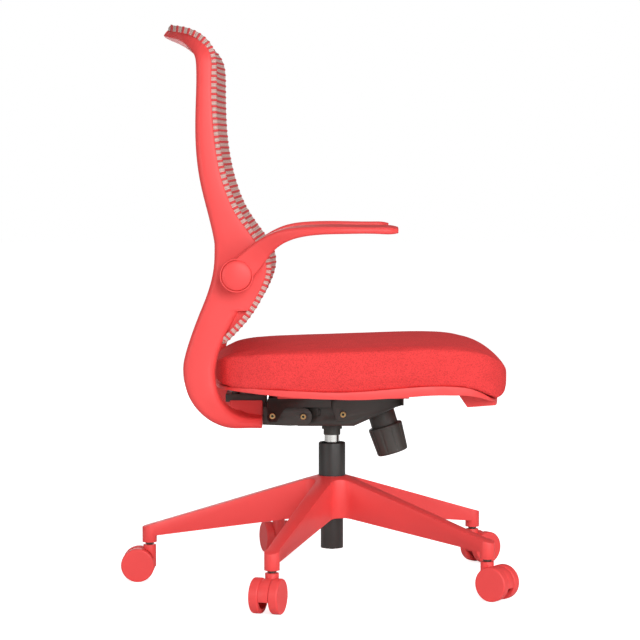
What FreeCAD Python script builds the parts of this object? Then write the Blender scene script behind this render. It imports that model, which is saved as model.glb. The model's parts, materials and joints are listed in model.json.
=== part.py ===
import FreeCAD, Part
import math
import os
import re

import Sketcher

# Office chair with a mesh back, flip-up arms and a base on five casters. Millimetres.
# X points forward, Y to the sitter's left, Z up. The origin is on the floor under the gas lift.

SIZES = (
    ("run_gap", 0.06, "radial gap of a shaft that turns in its hole"),
    ("fit_gap", 0.05, "gap round a piece that is fixed in another"),
    ("face_gap", 0.3, "gap between faces that move past each other"),
    ("lay_gap", 0.5, "gap under a curved piece that lies on another"),
    ("wheel_dia", 62, "caster wheel, diameter"),
    ("wheel_width", 17, "caster wheel, width"),
    ("wheel_round", 3, "rounding of the tread's edges"),
    ("wheel_web", 4, "outer wall of the wheel"),
    ("wheel_tread", 7, "tread of the wheel, seen from its side"),
    ("wheel_hub", 5, "hub of the wheel round its axle"),
    ("hood_width", 18, "caster hood between the wheels"),
    ("hood_inset", 1.5, "hood below the tread"),
    ("axle_dia", 8, "caster axle"),
    ("caster_trail", 21, "axle behind the swivel stem"),
    ("neck_dia", 24, "neck of the hood"),
    ("neck_rise", 5.5, "neck above the wheels"),
    ("stem_dia", 11, "swivel stem"),
    ("stem_seat", 26, "stem inside the neck"),
    ("stem_grip", 20, "stem inside the leg"),
    ("stem_show", 5, "bare stem between neck and leg"),
    ("base_radius", 341, "stems from the middle of the base"),
    ("boss_dia", 27, "boss round a stem"),
    ("boss_height", 28.5, "boss, from its foot to the top of the leg"),
    ("leg_end_depth", 15.5, "leg beside its boss, from top to bottom"),
    ("leg_end_width", 22, "leg beside its boss, across"),
    ("leg_root_width", 32, "leg at the hub, across"),
    ("leg_wall", 4, "walls of the hollow legs"),
    ("crotch_radius", 25, "rounding between two legs"),
    ("hub_rise", 49.5, "foot of the hub above the foot of the bosses"),
    ("hub_height", 76, "hub"),
    ("tube_dia", 50, "column tube"),
    ("tail_dia", 42, "column tube below the hub"),
    ("tube_wall", 2.5, "wall of the column tube"),
    ("tube_above", 62, "column tube above the hub"),
    ("tube_below", 60, "column tube below the hub"),
    ("bush_length", 62, "guide in the top of the tube"),
    ("cylinder_dia", 28, "gas cylinder"),
    ("cylinder_wall", 2, "wall of the gas cylinder"),
    ("cylinder_show", 14, "bare cylinder with the seat all the way down"),
    ("cylinder_floor", 24, "foot of the cylinder above the foot of the tube"),
    ("lift_stroke", 80, "travel of the gas lift"),
    ("rod_dia", 10, "piston rod"),
    ("socket_drop", 21, "taper socket below the mechanism"),
    ("socket_dia", 38, "taper socket at the mechanism"),
    ("socket_lip_dia", 31.5, "taper socket at its foot"),
    ("button_rise", 6, "valve button above the cylinder"),
    ("housing_width", 124, "mechanism housing, across"),
    ("housing_wall", 4, "walls of the mechanism housing"),
    ("housing_height", 46, "mechanism housing at the front"),
    ("housing_dip", 14, "top of the housing lower at the rear"),
    ("housing_rear", 76, "rear of the housing behind the lift"),
    ("housing_front", 116, "front of the housing ahead of the lift"),
    ("plate_rise", 51, "seat plate above the housing floor"),
    ("plate_thick", 3, "seat plate"),
    ("plate_width", 156, "seat plate, across"),
    ("plate_rear", 117, "rear of the seat plate behind the lift"),
    ("plate_front", 131, "front of the seat plate ahead of the lift"),
    ("plate_lip", 14, "front lip of the seat plate"),
    ("plate_skirt", 14.5, "skirt of the seat plate over the back pivot"),
    ("seat_pivot_ahead", 20, "seat pivot ahead of the lift"),
    ("seat_pivot_rise", 23, "seat pivot above the housing floor"),
    ("back_pivot_behind", 53, "back pivot behind the lift"),
    ("back_pivot_rise", 19, "back pivot above the housing floor"),
    ("link_behind", 109.5, "link pin behind the lift"),
    ("link_rise", 20.5, "link pin above the housing floor"),
    ("link_slack", 2, "play of the link pin along its slot"),
    ("pin_dia", 9, "cross pins"),
    ("pin_head_dia", 11, "heads of the cross pins"),
    ("pin_drill", 5, "drilled ends of the cross pins"),
    ("carrier_plate", 5, "side plates of the back carrier"),
    ("carrier_gap", 4, "side plates beside the housing"),
    ("carrier_rear", 127, "rear of the side plates behind the lift"),
    ("carrier_reach", 196, "tongue plate behind the lift"),
    ("knob_tilt", 16.7, "knob axis leans forward"),
    ("knob_dia", 62, "tension knob"),
    ("knob_length", 54, "tension knob"),
    ("knob_ahead", 98.5, "upper edge of the knob ahead of the lift"),
    ("knob_drop", 3, "upper edge of the knob below the housing floor"),
    ("barrel_dia", 50, "spring barrel above the knob"),
    ("barrel_length", 38, "spring barrel above the edge of the knob"),
    ("screw_dia", 12, "tension screw"),
    ("lever_behind", 25, "height lever behind the lift"),
    ("lever_arm", 28.7, "fulcrum of the lever from the valve"),
    ("lever_slope", 6, "lever hangs down"),
    ("lever_dia", 9, "lever rod"),
    ("lever_pin_dia", 4, "fulcrum pin of the lever"),
    ("lever_length", 150, "lever rod beyond its fulcrum"),
    ("paddle_length", 72, "lever handle"),
    ("paddle_width", 26, "lever handle"),
    ("paddle_thick", 11, "lever handle"),
    ("seat_rear", 204, "rear of the seat behind the lift"),
    ("seat_front", 318, "front of the seat ahead of the lift"),
    ("seat_width", 506, "seat cushion, across"),
    ("pan_inset", 4, "seat pan inside the cushion's outline"),
    ("pan_front", 301, "front of the seat pan ahead of the lift"),
    ("pan_rim", 12, "rim of the seat pan"),
    ("pan_wall", 9, "rim of the seat pan, seen from above"),
    ("pan_floor", 4, "floor of the seat pan"),
    ("pan_rear_rise", 38, "rim at the rear above the seat plate"),
    ("pan_mid_rise", 24.5, "rim at its low middle above the seat plate"),
    ("pan_crest_rise", 35, "rim at its crest above the seat plate"),
    ("pan_nose_rise", 14, "rim at the front above the seat plate"),
    ("cushion_rise", 112, "top of the cushion above the seat plate"),
    ("cushion_slope", 10, "cushion lower at the rear"),
    ("nose_rise", 32, "foremost edge of the cushion above the seat plate"),
    ("cushion_crown", 14, "cushion higher in the middle than at its sides"),
    ("back_width", 450, "back frame, across"),
    ("upright_thick", 30, "uprights, across"),
    ("upright_round", 11, "rounded edges of the uprights"),
    ("mesh_thick", 2, "mesh"),
    ("mesh_roll", 8, "edge of the mesh rolled round its carrier"),
    ("mesh_corner", 30, "corners of the mesh"),
    ("rail_thick", 7, "mesh carrier"),
    ("rail_width", 18, "mesh carrier, seen from the front"),
    ("rail_inset", 3, "mesh carrier inside the frame's sides"),
    ("scoop_radius", 108, "round foot of the uprights"),
    ("scoop_thick", 15, "scoop under the seat"),
    ("web_thick", 14, "web between the lobe and the foot of the mesh"),
    ("web_inset", 11, "web inside the frame's sides"),
    ("tongue_width", 124, "tongue of the frame, across"),
    ("tongue_height", 42, "tongue of the frame"),
    ("arm_pivot_behind", 168, "arm pivot behind the lift"),
    ("arm_pivot_rise", 265.5, "arm pivot above the back pivot"),
    ("arm_hub_dia", 58, "hub of the arm"),
    ("arm_hub_width", 38, "hub of the arm, across"),
    ("arm_cap_dia", 53, "cover of the hub"),
    ("arm_pad_width", 76, "arm pad"),
    ("arm_pad_thick", 12.5, "arm pad"),
    ("arm_pad_out", 40, "middle of the pad outside the middle of the hub"),
    ("arm_cap_seat", 4, "cover inside the hub"),
    ("arm_bolt_dia", 10, "pivot bolt"),
    ("bolt_head_dia", 18, "head of the pivot bolt"),
    ("bolt_seat", 14, "head of the pivot bolt inside the hub, from its inner face"),
    ("washer_thick", 3, "friction washer"),
)

PLACES = {
    "axle_height": "wheel_dia / 2",
    "neck_top": "wheel_dia + neck_rise",
    "boss_foot": "neck_top + stem_show",
    "leg_end_top": "boss_foot + boss_height",
    "hub_foot": "boss_foot + hub_rise",
    "hub_top": "hub_foot + hub_height",
    "tube_top": "hub_top + tube_above",
    "tube_foot": "hub_foot - tube_below",
    "cylinder_foot": "tube_foot + cylinder_floor",
    "socket_foot": "tube_top + cylinder_show",
    "floor_level": "socket_foot + socket_drop",
    "cylinder_top": "floor_level + 26",
    "button_top": "cylinder_top + button_rise",
    "plate_under": "floor_level + plate_rise",
    "plate_top": "plate_under + plate_thick",
    "seat_pivot_z": "floor_level + seat_pivot_rise",
    "back_pivot_z": "floor_level + back_pivot_rise",
    "link_z": "floor_level + link_rise",
    "knob_z": "floor_level - knob_drop",
    "presser_radius": "lever_dia / 2",
    "presser_z": "button_top + face_gap + presser_radius",
    "fulcrum_z": "presser_z - lever_arm * tan(lever_slope)",
    "carrier_inner": "housing_width / 2 + carrier_gap",
    "carrier_outer": "carrier_inner + carrier_plate",
    "tab_inner": "carrier_outer + 2.5",
    "arm_pivot_z": "back_pivot_z + arm_pivot_rise",
    "washer_face": "back_width / 2 + washer_thick",
    "hub_face": "washer_face + face_gap",
}

LEG_ANGLES = (180, 252, 324, 36, 108)
BACK_DATUM = 318.0

doc = FreeCAD.newDocument("OfficeChair")
sheet = doc.addObject("Spreadsheet::Sheet", "Sizes")
for row, (alias, amount, meaning) in enumerate(SIZES, start=1):
    sheet.set(f"A{row}", meaning)
    sheet.set(f"B{row}", str(amount))
    sheet.setAlias(f"B{row}", alias)
doc.recompute()

ALIASES = {alias for alias, _, _ in SIZES}
Vector = FreeCAD.Vector
nodes = []


def spelled(formula):
    """The formula with each name in it spelled out as cells of the sheet."""

    def word(match):
        name = match.group(0)
        if name in ALIASES:
            return f"Sizes.{name}"
        if name in PLACES:
            return f"({spelled(PLACES[name])})"
        return name

    return re.sub(r"[a-z][a-z_]*", word, str(formula))


def size(formula):
    return float(sheet.evalExpression(spelled(formula)))


def bind(thing, **formulas):
    for prop, formula in formulas.items():
        thing.setExpression(prop, spelled(formula))


def turn_to(direction):
    return FreeCAD.Rotation(Vector(0, 0, 1), Vector(*direction))


def place(thing, x="0", y="0", z="0", turn=None):
    """Puts a thing where three formulas say, turned as asked."""
    thing.Placement = FreeCAD.Placement(Vector(), turn or FreeCAD.Rotation())
    for letter, formula in (("x", x), ("y", y), ("z", z)):
        thing.setExpression(f"Placement.Base.{letter}", spelled(formula))
    return thing


def node(thing, label):
    thing.Label = label
    nodes.append(thing)
    return thing


def new_body(name):
    return doc.addObject("PartDesign::Body", name)


def sketch(body, role, corners):
    """A closed outline of straight edges whose corners follow pairs of formulas."""
    drawing = body.newObject("Sketcher::SketchObject", f"{body.Name}_outline")
    plane = next(item for item in body.Origin.OriginFeatures if item.Role == role)
    drawing.AttachmentSupport = (plane, [""])
    drawing.MapMode = "FlatFace"
    spots = [Vector(size(across), size(up), 0) for across, up in corners]
    count = len(spots)
    for index, spot in enumerate(spots):
        drawing.addGeometry(Part.LineSegment(spot, spots[(index + 1) % count]), False)
    for index in range(count):
        drawing.addConstraint(
            Sketcher.Constraint("Coincident", index, 2, (index + 1) % count, 1)
        )
    for index, pair in enumerate(corners):
        for kind, formula in zip(("DistanceX", "DistanceY"), pair):
            number = drawing.addConstraint(
                Sketcher.Constraint(kind, -1, 1, index, 1, size(formula))
            )
            drawing.setExpression(f"Constraints[{number}]", spelled(formula))
    return drawing


def turned(name, corners):
    """A body turned about its own Z axis from an outline of (radius, height)."""
    body = new_body(name)
    profile = sketch(body, "XZ_Plane", corners)
    revolution = body.newObject("PartDesign::Revolution", f"{name}_turn")
    revolution.Profile = profile
    revolution.ReferenceAxis = (profile, ["V_Axis"])
    revolution.Angle = 360
    doc.recompute()
    return body


def pad(body, role, corners, length, middle=True):
    profile = sketch(body, role, corners)
    feature = body.newObject("PartDesign::Pad", f"{body.Name}_pad")
    feature.Profile = profile
    feature.Midplane = middle
    bind(feature, Length=length)
    doc.recompute()
    return feature


def rounded(body, radius, wanted, kind="PartDesign::Fillet"):
    """Rounds the edges of the body that the test picks."""
    tip = body.Tip
    edges = [
        f"Edge{index}"
        for index, edge in enumerate(tip.Shape.Edges, start=1)
        if wanted(edge)
    ]
    if not edges:
        raise RuntimeError(f"{body.Name}: no edge to round")
    feature = body.newObject(kind, f"{body.Name}_round")
    feature.Base = (tip, edges)
    if kind == "PartDesign::Chamfer":
        bind(feature, Size=radius)
    else:
        bind(feature, Radius=radius)
    doc.recompute()
    return feature


def rim(edge, radius):
    """Whether an edge is a circle of this radius."""
    return isinstance(edge.Curve, Part.Circle) and abs(edge.Curve.Radius - radius) < 0.01


def box(name, length, width, height, x="0", y="0", z="0", turn=None):
    thing = doc.addObject("Part::Box", name)
    bind(thing, Length=length, Width=width, Height=height)
    return place(thing, x, y, z, turn)


def cylinder(name, radius, height, x="0", y="0", z="0", direction=(0, 0, 1)):
    thing = doc.addObject("Part::Cylinder", name)
    bind(thing, Radius=radius, Height=height)
    return place(thing, x, y, z, turn_to(direction))


def cut(name, base, tool):
    thing = doc.addObject("Part::Cut", name)
    thing.Base = base
    thing.Tool = tool
    return thing


def common(name, first, second):
    thing = doc.addObject("Part::Common", name)
    thing.Base = first
    thing.Tool = second
    return thing


def fuse(name, things):
    thing = doc.addObject("Part::MultiFuse", name)
    thing.Shapes = things
    thing.Refine = True
    return thing


def compound(name, things):
    thing = doc.addObject("Part::Compound", name)
    thing.Links = things
    return thing


def formed(name, shape):
    """A piece whose shape no sketch gives."""
    thing = doc.addObject("Part::Feature", name)
    thing.Shape = shape
    return thing


# Casters


def wheel(name, leg, side):
    bore = "axle_dia / 2 + run_gap"
    rim_inner = "wheel_dia / 2 - wheel_tread"
    hub_outer = "axle_dia / 2 + wheel_hub"
    body = turned(
        name,
        (
            (bore, "0"),
            (hub_outer, "0"),
            (hub_outer, "wheel_width - 2 * wheel_web"),
            (rim_inner, "wheel_width - 2 * wheel_web"),
            (rim_inner, "0"),
            ("wheel_dia / 2", "0"),
            ("wheel_dia / 2", "wheel_width"),
            ("0", "wheel_width"),
            ("0", "wheel_width - wheel_web"),
            (bore, "wheel_width - wheel_web"),
        ),
    )
    radius = size("wheel_dia / 2")
    rounded(body, "wheel_round", lambda edge: rim(edge, radius))
    turn = FreeCAD.Rotation(Vector(0, 0, 1), leg)
    offset = f"{side} * (hood_width / 2 + face_gap)"
    place(
        body,
        f"(base_radius + caster_trail) * cos({leg}) - ({offset}) * sin({leg})",
        f"(base_radius + caster_trail) * sin({leg}) + ({offset}) * cos({leg})",
        "axle_height",
        turn.multiply(turn_to((0, side, 0))),
    )
    return body


def hood(name, leg):
    """The fork of one caster, drawn with its stem at the origin and its axle along +X."""
    disc = cylinder(
        f"{name}_disc",
        "wheel_dia / 2 - hood_inset",
        "hood_width",
        "caster_trail",
        "-hood_width / 2",
        "axle_height",
        (0, 1, 0),
    )
    neck = cylinder(f"{name}_neck", "neck_dia / 2", "neck_top - axle_height + 4", z="axle_height - 4")
    solid = fuse(f"{name}_solid", [disc, neck])
    below = box(
        f"{name}_below",
        "2 * wheel_dia",
        "2 * hood_width",
        "axle_height",
        "caster_trail - wheel_dia",
        "-hood_width",
        "-axle_dia / 2 - 3",
    )
    upper = cut(f"{name}_upper", solid, below)
    rooms = []
    for side in (-1, 1):
        start = "hood_width / 2" if side > 0 else "-hood_width / 2 - wheel_width"
        room = cylinder(
            f"{name}_room",
            "wheel_dia / 2 + 3 * face_gap",
            "wheel_width",
            "caster_trail",
            start,
            "axle_height",
            (0, 1, 0),
        )
        rooms.append(room)
    bore = cylinder(
        f"{name}_bore",
        "axle_dia / 2 + fit_gap",
        "2 * hood_width",
        "caster_trail",
        "-hood_width",
        "axle_height",
        (0, 1, 0),
    )
    well = cylinder(f"{name}_well", "stem_dia / 2 + run_gap", "2 * stem_seat", z="neck_top - stem_seat")
    whole = cut(name, upper, fuse(f"{name}_rooms", rooms + [bore, well]))
    return place(
        whole,
        f"base_radius * cos({leg})",
        f"base_radius * sin({leg})",
        "0",
        FreeCAD.Rotation(Vector(0, 0, 1), leg),
    )


for number, leg in enumerate(LEG_ANGLES, start=1):
    node(hood(f"hood_{number}", leg), f"hood_{number}")
    reach = "hood_width / 2 + face_gap + wheel_width - wheel_web - 1"
    axle = cylinder(
        f"axle_{number}",
        "axle_dia / 2",
        f"2 * ({reach})",
        f"(base_radius + caster_trail) * cos({leg}) + ({reach}) * sin({leg})",
        f"(base_radius + caster_trail) * sin({leg}) - ({reach}) * cos({leg})",
        "axle_height",
        (-math.sin(math.radians(leg)), math.cos(math.radians(leg)), 0),
    )
    node(axle, f"axle_{number}")
    node(wheel(f"wheel_{number}_left", leg, 1), f"wheel_{number}_left")
    node(wheel(f"wheel_{number}_right", leg, -1), f"wheel_{number}_right")

stems = []
for number, leg in enumerate(LEG_ANGLES, start=1):
    stem = turned(
        f"stem_{number}",
        (
            ("0", "neck_top - stem_seat + 1"),
            ("stem_dia / 2", "neck_top - stem_seat + 1"),
            ("stem_dia / 2", "boss_foot - 3"),
            ("stem_dia / 2 + 2.5", "boss_foot - 3"),
            ("stem_dia / 2 + 2.5", "boss_foot - 0.5"),
            ("stem_dia / 2", "boss_foot - 0.5"),
            ("stem_dia / 2", "boss_foot + stem_grip"),
            ("0", "boss_foot + stem_grip"),
        ),
    )
    place(stem, f"base_radius * cos({leg})", f"base_radius * sin({leg})", "0")
    stems.append(stem)
node(compound("caster_stems", stems), "caster_stems")

# Base


def star(name, root, end, radius):
    """Five legs seen from above, padded from the floor up."""
    body = new_body(name)
    leg = pad(
        body,
        "XY_Plane",
        (
            ("0", f"-({root}) / 2"),
            ("0", f"({root}) / 2"),
            (f"-({radius})", f"({end}) / 2"),
            (f"-({radius})", f"-({end}) / 2"),
        ),
        "hub_top + 10",
        False,
    )
    pattern = body.newObject("PartDesign::PolarPattern", f"{name}_legs")
    pattern.Originals = [leg]
    axis = next(item for item in body.Origin.OriginFeatures if item.Role == "Z_Axis")
    pattern.Axis = (axis, [""])
    pattern.Angle = 360
    pattern.Occurrences = 5
    body.Tip = pattern
    doc.recompute()
    return body


def upright_edge(edge, far):
    ends = [vertex.Point for vertex in edge.Vertexes]
    if len(ends) != 2 or abs(ends[0].x - ends[1].x) + abs(ends[0].y - ends[1].y) > 0.01:
        return False
    return 5 < math.hypot(ends[0].x, ends[0].y) < far


legs = star("star_legs", "leg_root_width", "leg_end_width", "base_radius")
rounded(legs, "crotch_radius", lambda edge: upright_edge(edge, size("base_radius / 2")))
ends = [
    cylinder(
        f"leg_end_{number}",
        "boss_dia / 2",
        "hub_top",
        f"base_radius * cos({leg})",
        f"base_radius * sin({leg})",
    )
    for number, leg in enumerate(LEG_ANGLES, start=1)
]
umbrella = turned(
    "umbrella",
    (
        ("0", "hub_foot"),
        ("tube_dia / 2 + 22", "hub_foot"),
        ("base_radius - boss_dia / 2", "leg_end_top - leg_end_depth"),
        ("base_radius + boss_dia / 2 + 1", "leg_end_top - leg_end_depth"),
        ("base_radius + boss_dia / 2 + 1", "leg_end_top"),
        ("tube_dia / 2 + 3", "hub_top"),
        ("0", "hub_top"),
    ),
)
outside = common("star_outside", fuse("star_plan", [legs] + ends), umbrella)

hollow_plan = star(
    "hollow_legs",
    "leg_root_width - 2 * leg_wall",
    "leg_end_width - 2 * leg_wall",
    "base_radius - boss_dia / 2",
)
hollow_room = turned(
    "hollow_room",
    (
        ("tube_dia / 2 + 18", "0"),
        ("base_radius", "0"),
        ("base_radius", "leg_end_top + boss_dia * 0.15 - leg_wall"),
        ("tube_dia / 2 + 18", "hub_top - leg_wall - 6"),
    ),
)
hollow = common("star_hollow", hollow_plan, hollow_room)
ribs = []
for share in (0.25, 0.5, 0.75):
    middle = f"(tube_dia / 2 + 18 + {share} * (base_radius - tube_dia))"
    ribs.append(
        turned(
            "rib_ring",
            (
                (f"{middle} - 1.5", "boss_foot + 40 - 20 * " + str(share)),
                (f"{middle} + 1.5", "boss_foot + 40 - 20 * " + str(share)),
                (f"{middle} + 1.5", "hub_top"),
                (f"{middle} - 1.5", "hub_top"),
            ),
        )
    )
open_hollow = cut("star_open", hollow, fuse("rib_rings", ribs))
shell = cut("star_shell", outside, open_hollow)
bosses = [
    cylinder(
        f"boss_{number}",
        "boss_dia / 2",
        "boss_height - 6",
        f"base_radius * cos({leg})",
        f"base_radius * sin({leg})",
        "boss_foot",
    )
    for number, leg in enumerate(LEG_ANGLES, start=1)
]
wells = [
    cylinder(
        f"stem_well_{number}",
        "stem_dia / 2 + fit_gap",
        "stem_grip + 1",
        f"base_radius * cos({leg})",
        f"base_radius * sin({leg})",
        "boss_foot",
    )
    for number, leg in enumerate(LEG_ANGLES, start=1)
]
taper = turned(
    "hub_taper",
    (
        ("0", "hub_foot - 1"),
        ("tail_dia / 2 + fit_gap", "hub_foot - 1"),
        ("tail_dia / 2 + fit_gap", "hub_foot"),
        ("tube_dia / 2 + fit_gap", "hub_top"),
        ("tube_dia / 2 + fit_gap", "hub_top + 1"),
        ("0", "hub_top + 1"),
    ),
)
base_star = cut("base_star", fuse("star_solid", [shell] + bosses), fuse("star_bores", wells + [taper]))
node(base_star, "base_star")

column = turned(
    "column_tube",
    (
        ("rod_dia / 2 + run_gap", "tube_foot"),
        ("tail_dia / 2", "tube_foot"),
        ("tail_dia / 2", "hub_foot"),
        ("tube_dia / 2", "hub_top"),
        ("tube_dia / 2", "tube_top"),
        ("tube_dia / 2 - tube_wall", "tube_top"),
        ("tube_dia / 2 - tube_wall", "tube_top - bush_length"),
        ("tail_dia / 2 - tube_wall", "hub_foot"),
        ("tail_dia / 2 - tube_wall", "tube_foot + 4"),
        ("rod_dia / 2 + run_gap", "tube_foot + 4"),
    ),
)
rounded(
    column,
    "tube_wall * 0.8",
    lambda edge: rim(edge, size("tube_dia / 2")) and edge.Curve.Center.z > size("tube_top - 1"),
)
node(column, "column_tube")
bush = turned(
    "column_bush",
    (
        ("cylinder_dia / 2 + run_gap", "tube_top - bush_length + 0.5"),
        ("tube_dia / 2 - tube_wall - fit_gap", "tube_top - bush_length + 0.5"),
        ("tube_dia / 2 - tube_wall - fit_gap", "tube_top - 1"),
        ("cylinder_dia / 2 + run_gap", "tube_top - 1"),
    ),
)
node(bush, "column_bush")

# Gas lift

rod_shoulder = "tube_foot + 10.5"
rod = turned(
    "piston_rod",
    (
        ("0", "tube_foot - 3"),
        ("rod_dia / 2", "tube_foot - 3"),
        ("rod_dia / 2", rod_shoulder),
        ("rod_dia / 2 + 4", rod_shoulder),
        ("rod_dia / 2 + 4", f"{rod_shoulder} + 3"),
        ("rod_dia / 2", f"{rod_shoulder} + 3"),
        ("rod_dia / 2", "cylinder_foot + lift_stroke + 8"),
        ("cylinder_dia / 2 - cylinder_wall - run_gap", "cylinder_foot + lift_stroke + 8"),
        ("cylinder_dia / 2 - cylinder_wall - run_gap", "cylinder_foot + lift_stroke + 20"),
        ("0", "cylinder_foot + lift_stroke + 20"),
    ),
)
node(rod, "piston_rod")
bearing = turned(
    "thrust_bearing",
    (
        ("rod_dia / 2 + run_gap", "tube_foot + 4 + face_gap"),
        ("rod_dia / 2 + 8", "tube_foot + 4 + face_gap"),
        ("rod_dia / 2 + 8", rod_shoulder),
        ("rod_dia / 2 + run_gap", rod_shoulder),
    ),
)
node(bearing, "thrust_bearing")
clip = turned(
    "rod_clip",
    (
        ("rod_dia / 2 + fit_gap", "tube_foot - 2"),
        ("rod_dia / 2 + 4", "tube_foot - 2"),
        ("rod_dia / 2 + 4", "tube_foot - face_gap"),
        ("rod_dia / 2 + fit_gap", "tube_foot - face_gap"),
    ),
)
node(clip, "rod_clip")
cylinder_body = turned(
    "gas_cylinder",
    (
        ("rod_dia / 2 + run_gap", "cylinder_foot"),
        ("cylinder_dia / 2", "cylinder_foot"),
        ("cylinder_dia / 2", "socket_foot"),
        ("cylinder_dia / 2 - 1", "cylinder_top"),
        ("3 + run_gap", "cylinder_top"),
        ("3 + run_gap", "cylinder_top - 7"),
        ("cylinder_dia / 2 - cylinder_wall", "cylinder_top - 7"),
        ("cylinder_dia / 2 - cylinder_wall", "cylinder_foot + 6"),
        ("rod_dia / 2 + run_gap", "cylinder_foot + 6"),
    ),
)
node(cylinder_body, "gas_cylinder")
button = turned(
    "valve_button",
    (
        ("0", "cylinder_top - 6"),
        ("3", "cylinder_top - 6"),
        ("3", "button_top"),
        ("0", "button_top"),
    ),
)
node(button, "valve_button")

# Mechanism

socket = turned(
    "taper_socket",
    (
        ("cylinder_dia / 2 + fit_gap", "socket_foot"),
        ("socket_lip_dia / 2", "socket_foot"),
        ("socket_lip_dia / 2", "floor_level - 10"),
        ("socket_dia / 2", "floor_level - 10"),
        ("socket_dia / 2", "floor_level + 14"),
        ("cylinder_dia / 2 - (socket_drop + 14) / (socket_drop + 26) + fit_gap", "floor_level + 14"),
    ),
)
node(socket, "taper_socket")

tray = new_body("tray")
pad(
    tray,
    "XZ_Plane",
    (
        ("-housing_rear", "floor_level + 4"),
        ("-housing_rear + 14", "floor_level"),
        ("seat_pivot_ahead + 20", "floor_level"),
        ("housing_front", "floor_level + housing_height - 12"),
        ("housing_front", "floor_level + housing_height"),
        ("seat_pivot_ahead", "floor_level + housing_height"),
        ("-housing_rear", "floor_level + housing_height - housing_dip"),
    ),
    "housing_width",
)
rounded(
    tray,
    "8",
    lambda edge: abs(edge.tangentAt(edge.FirstParameter).y) < 0.01
    and edge.CenterOfMass.z < size("floor_level + housing_height - 16")
    and abs(edge.CenterOfMass.y) > 1
    and abs(edge.tangentAt(edge.FirstParameter).x) > 0.5,
)
cavity = new_body("tray_cavity")
pad(
    cavity,
    "XZ_Plane",
    (
        ("-housing_rear + housing_wall", "floor_level + housing_wall + 4"),
        ("-housing_rear + 14 + housing_wall", "floor_level + housing_wall"),
        ("seat_pivot_ahead + 18", "floor_level + housing_wall"),
        ("housing_front - housing_wall", "floor_level + housing_height - 10"),
        ("housing_front - housing_wall", "floor_level + housing_height + 20"),
        ("-housing_rear + housing_wall", "floor_level + housing_height + 20"),
    ),
    "housing_width - 2 * housing_wall",
)
barrel_turn = FreeCAD.Rotation(Vector(0, 1, 0), -size("knob_tilt"))
barrel_hole = cylinder("barrel_hole", "barrel_dia / 2 + fit_gap", "70")
place(
    barrel_hole,
    "knob_ahead + 20 * sin(knob_tilt)",
    "0",
    "knob_z - 20 * cos(knob_tilt)",
    barrel_turn,
)
across = (0, 1, 0)
holes = [
    cylinder("socket_hole", "socket_dia / 2 + fit_gap", "housing_wall + 8", z="floor_level - 4"),
    cylinder("seat_pin_hole", "pin_dia / 2 + fit_gap", "housing_width + 10", "seat_pivot_ahead",
             "-housing_width / 2 - 5", "seat_pivot_z", across),
    cylinder("back_pin_hole", "pin_dia / 2 + fit_gap", "housing_width + 10", "-back_pivot_behind",
             "-housing_width / 2 - 5", "back_pivot_z", across),
    box("lever_slot", "lever_dia + 4", "2 * housing_wall + 8", "30", "-lever_behind - lever_dia / 2 - 2",
        "housing_width / 2 - housing_wall - 4", "fulcrum_z - lever_dia / 2 - 7"),
    barrel_hole,
]
opened = cut("tray_open", tray, fuse("tray_holes", [cavity] + holes))
ears = []
for index, offset in enumerate(("-10.5", "6.5")):
    ears.append(
        box(
            f"lever_ear_{index}",
            "4",
            "10",
            "fulcrum_z + 4 - floor_level - 1",
            f"-lever_behind + {offset}",
            "lever_arm - 5",
            "floor_level + 1",
        )
    )
pin_bore = cylinder(
    "lever_pin_bore",
    "lever_pin_dia / 2 + fit_gap",
    "40",
    "-lever_behind - 20",
    "lever_arm",
    "fulcrum_z",
    (1, 0, 0),
)
housing = cut("mechanism_housing", fuse("tray_with_ears", [opened] + ears), pin_bore)
node(housing, "mechanism_housing")
fulcrum_pin = cylinder(
    "lever_pin",
    "lever_pin_dia / 2",
    "21",
    "-lever_behind - 10.5",
    "lever_arm",
    "fulcrum_z",
    (1, 0, 0),
)
node(fulcrum_pin, "lever_pin")


def cross_pin(name, reach, x, z):
    """A pin across the mechanism with a low head at each end."""
    half = f"({reach})"
    body = turned(
        name,
        (
            ("0", f"-{half} - 0.5"),
            ("pin_drill / 2", f"-{half} - 0.5"),
            ("pin_drill / 2", f"-{half} - 2.5"),
            ("pin_head_dia / 2 - 1", f"-{half} - 2.5"),
            ("pin_head_dia / 2", f"-{half} - 1.5"),
            ("pin_head_dia / 2", f"-{half}"),
            ("pin_dia / 2", f"-{half}"),
            ("pin_dia / 2", half),
            ("pin_head_dia / 2", half),
            ("pin_head_dia / 2", f"{half} + 1.5"),
            ("pin_head_dia / 2 - 1", f"{half} + 2.5"),
            ("pin_drill / 2", f"{half} + 2.5"),
            ("pin_drill / 2", f"{half} + 0.5"),
            ("0", f"{half} + 0.5"),
        ),
    )
    return place(body, x, "0", z, turn_to((0, 1, 0)))


CROSS_PINS = (
    ("seat_pivot_pin", "carrier_outer + face_gap", "seat_pivot_ahead", "seat_pivot_z"),
    ("back_pivot_pin", "carrier_outer + face_gap", "-back_pivot_behind", "back_pivot_z"),
    ("link_pin", "tab_inner + plate_thick + face_gap", "-link_behind", "link_z"),
)
for label, reach, x, z in CROSS_PINS:
    node(cross_pin(label, reach, x, z), label)

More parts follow.
